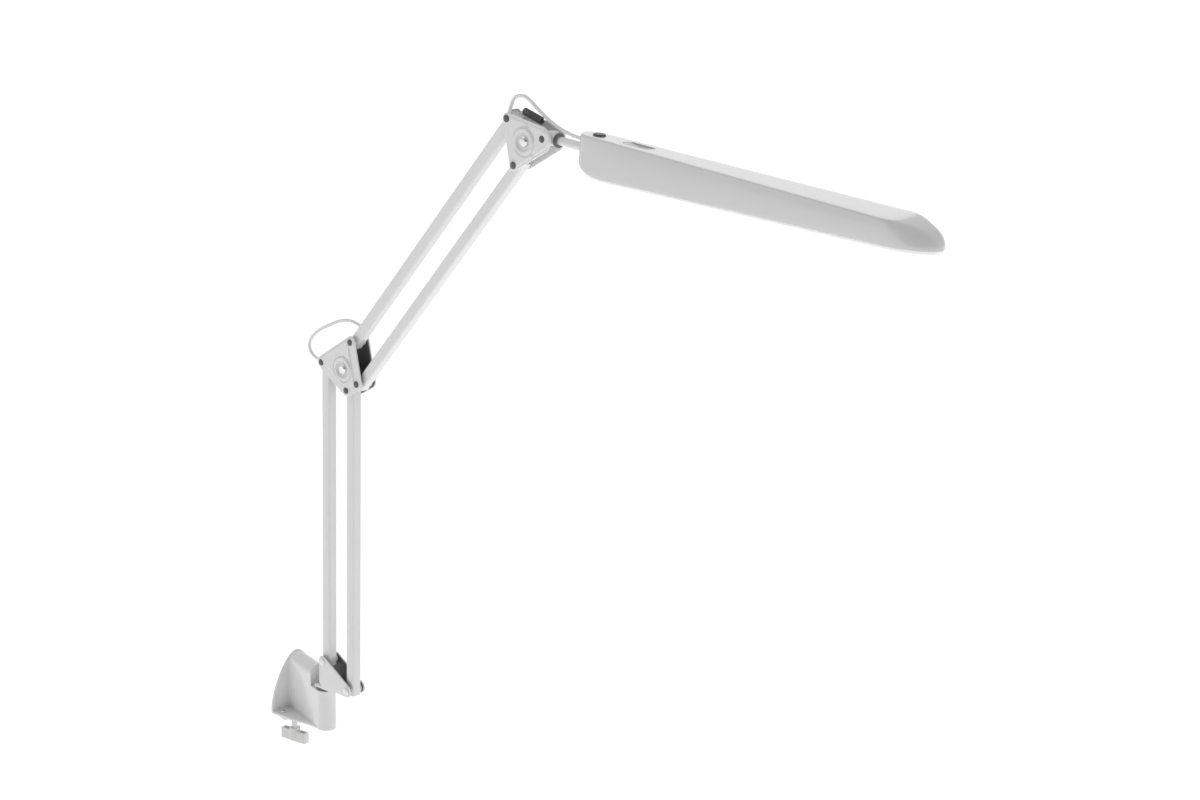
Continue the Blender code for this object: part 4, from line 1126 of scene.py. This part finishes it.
def make_world():
    """A white studio, darker on the side towards the viewer, and white wherever it is seen."""
    world = bpy.data.worlds.new("studio")
    world.use_nodes = True
    tree = world.node_tree
    background = tree.nodes["Background"]
    background.inputs["Color"].default_value = (1, 1, 1, 1)
    heading = tree.nodes.new("ShaderNodeTexCoord")
    facing = tree.nodes.new("ShaderNodeVectorMath")
    facing.operation = "DOT_PRODUCT"
    facing.inputs[1].default_value = TOWARDS_VIEWER
    tree.links.new(heading.outputs["Generated"], facing.inputs[0])

    def fall(start, end, dark):
        found = tree.nodes.new("ShaderNodeMapRange")
        found.interpolation_type = "SMOOTHSTEP"
        found.inputs["From Min"].default_value = start
        found.inputs["From Max"].default_value = end
        found.inputs["To Min"].default_value = WORLD_LIGHT
        found.inputs["To Max"].default_value = dark
        tree.links.new(facing.outputs["Value"], found.inputs["Value"])
        return found.outputs["Result"]

    shade = tree.nodes.new("ShaderNodeMath")
    shade.operation = "MULTIPLY"
    tree.links.new(fall(-0.1, 0.8, 0.42), shade.inputs[0])
    tree.links.new(fall(0.72, 0.97, 0.1), shade.inputs[1])
    rays = tree.nodes.new("ShaderNodeLightPath")
    seen = tree.nodes.new("ShaderNodeMix")
    seen.inputs["B"].default_value = 1.0
    tree.links.new(rays.outputs["Is Camera Ray"], seen.inputs["Factor"])
    tree.links.new(shade.outputs["Value"], seen.inputs["A"])
    tree.links.new(seen.outputs["Result"], background.inputs["Strength"])
    bpy.context.scene.world = world


def make_floor():
    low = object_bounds()[0]
    grid = new_mesh(lambda made: bmesh.ops.create_grid(made, x_segments=8, y_segments=8, size=30))
    grid.materials.append(finish("pale_floor", (0.9, 0.9, 0.9), 0.8, spread=0.004, grain=0.02, shine=0.5))
    floor = bpy.data.objects.new("studio_floor", put(grid, at((0, 0, low[2] - 0.0005))))
    bpy.context.scene.collection.objects.link(floor)


def make_stage():
    make_floor()
    make_world()
    area_light("key", (-0.6, -0.9, 2.4), (1.4, 1.0), 2)
    area_light("rim", (-1.2, 1.8, 1.6), (1.0, 1.6), 2)
    bpy.context.scene.view_settings.view_transform = "Standard"


LENS_MM, FILM_MM = 64.66, 36
VIEWER, LOOK_AT = Vector((2.4476, -1.2190, 1.0984)), Vector((0.3230, 0.2695, 0.4265))
CAMERA_ROLL = math.radians(0.86)


def make_camera():
    data = bpy.data.cameras.new("camera")
    data.lens, data.sensor_width = LENS_MM, FILM_MM
    camera = bpy.data.objects.new("camera", data)
    bpy.context.scene.collection.objects.link(camera)
    level = (LOOK_AT - VIEWER).to_track_quat("-Z", "Y").to_matrix().to_4x4()
    camera.matrix_world = Matrix.Translation(VIEWER) @ level @ Matrix.Rotation(CAMERA_ROLL, 4, "Z")
    bpy.context.scene.camera = camera


make_camera()
dress_nodes()
make_clamp()
make_base_bracket()
make_rails()
make_elbow()
make_head_bracket()
make_head()
make_cords()
make_stage()
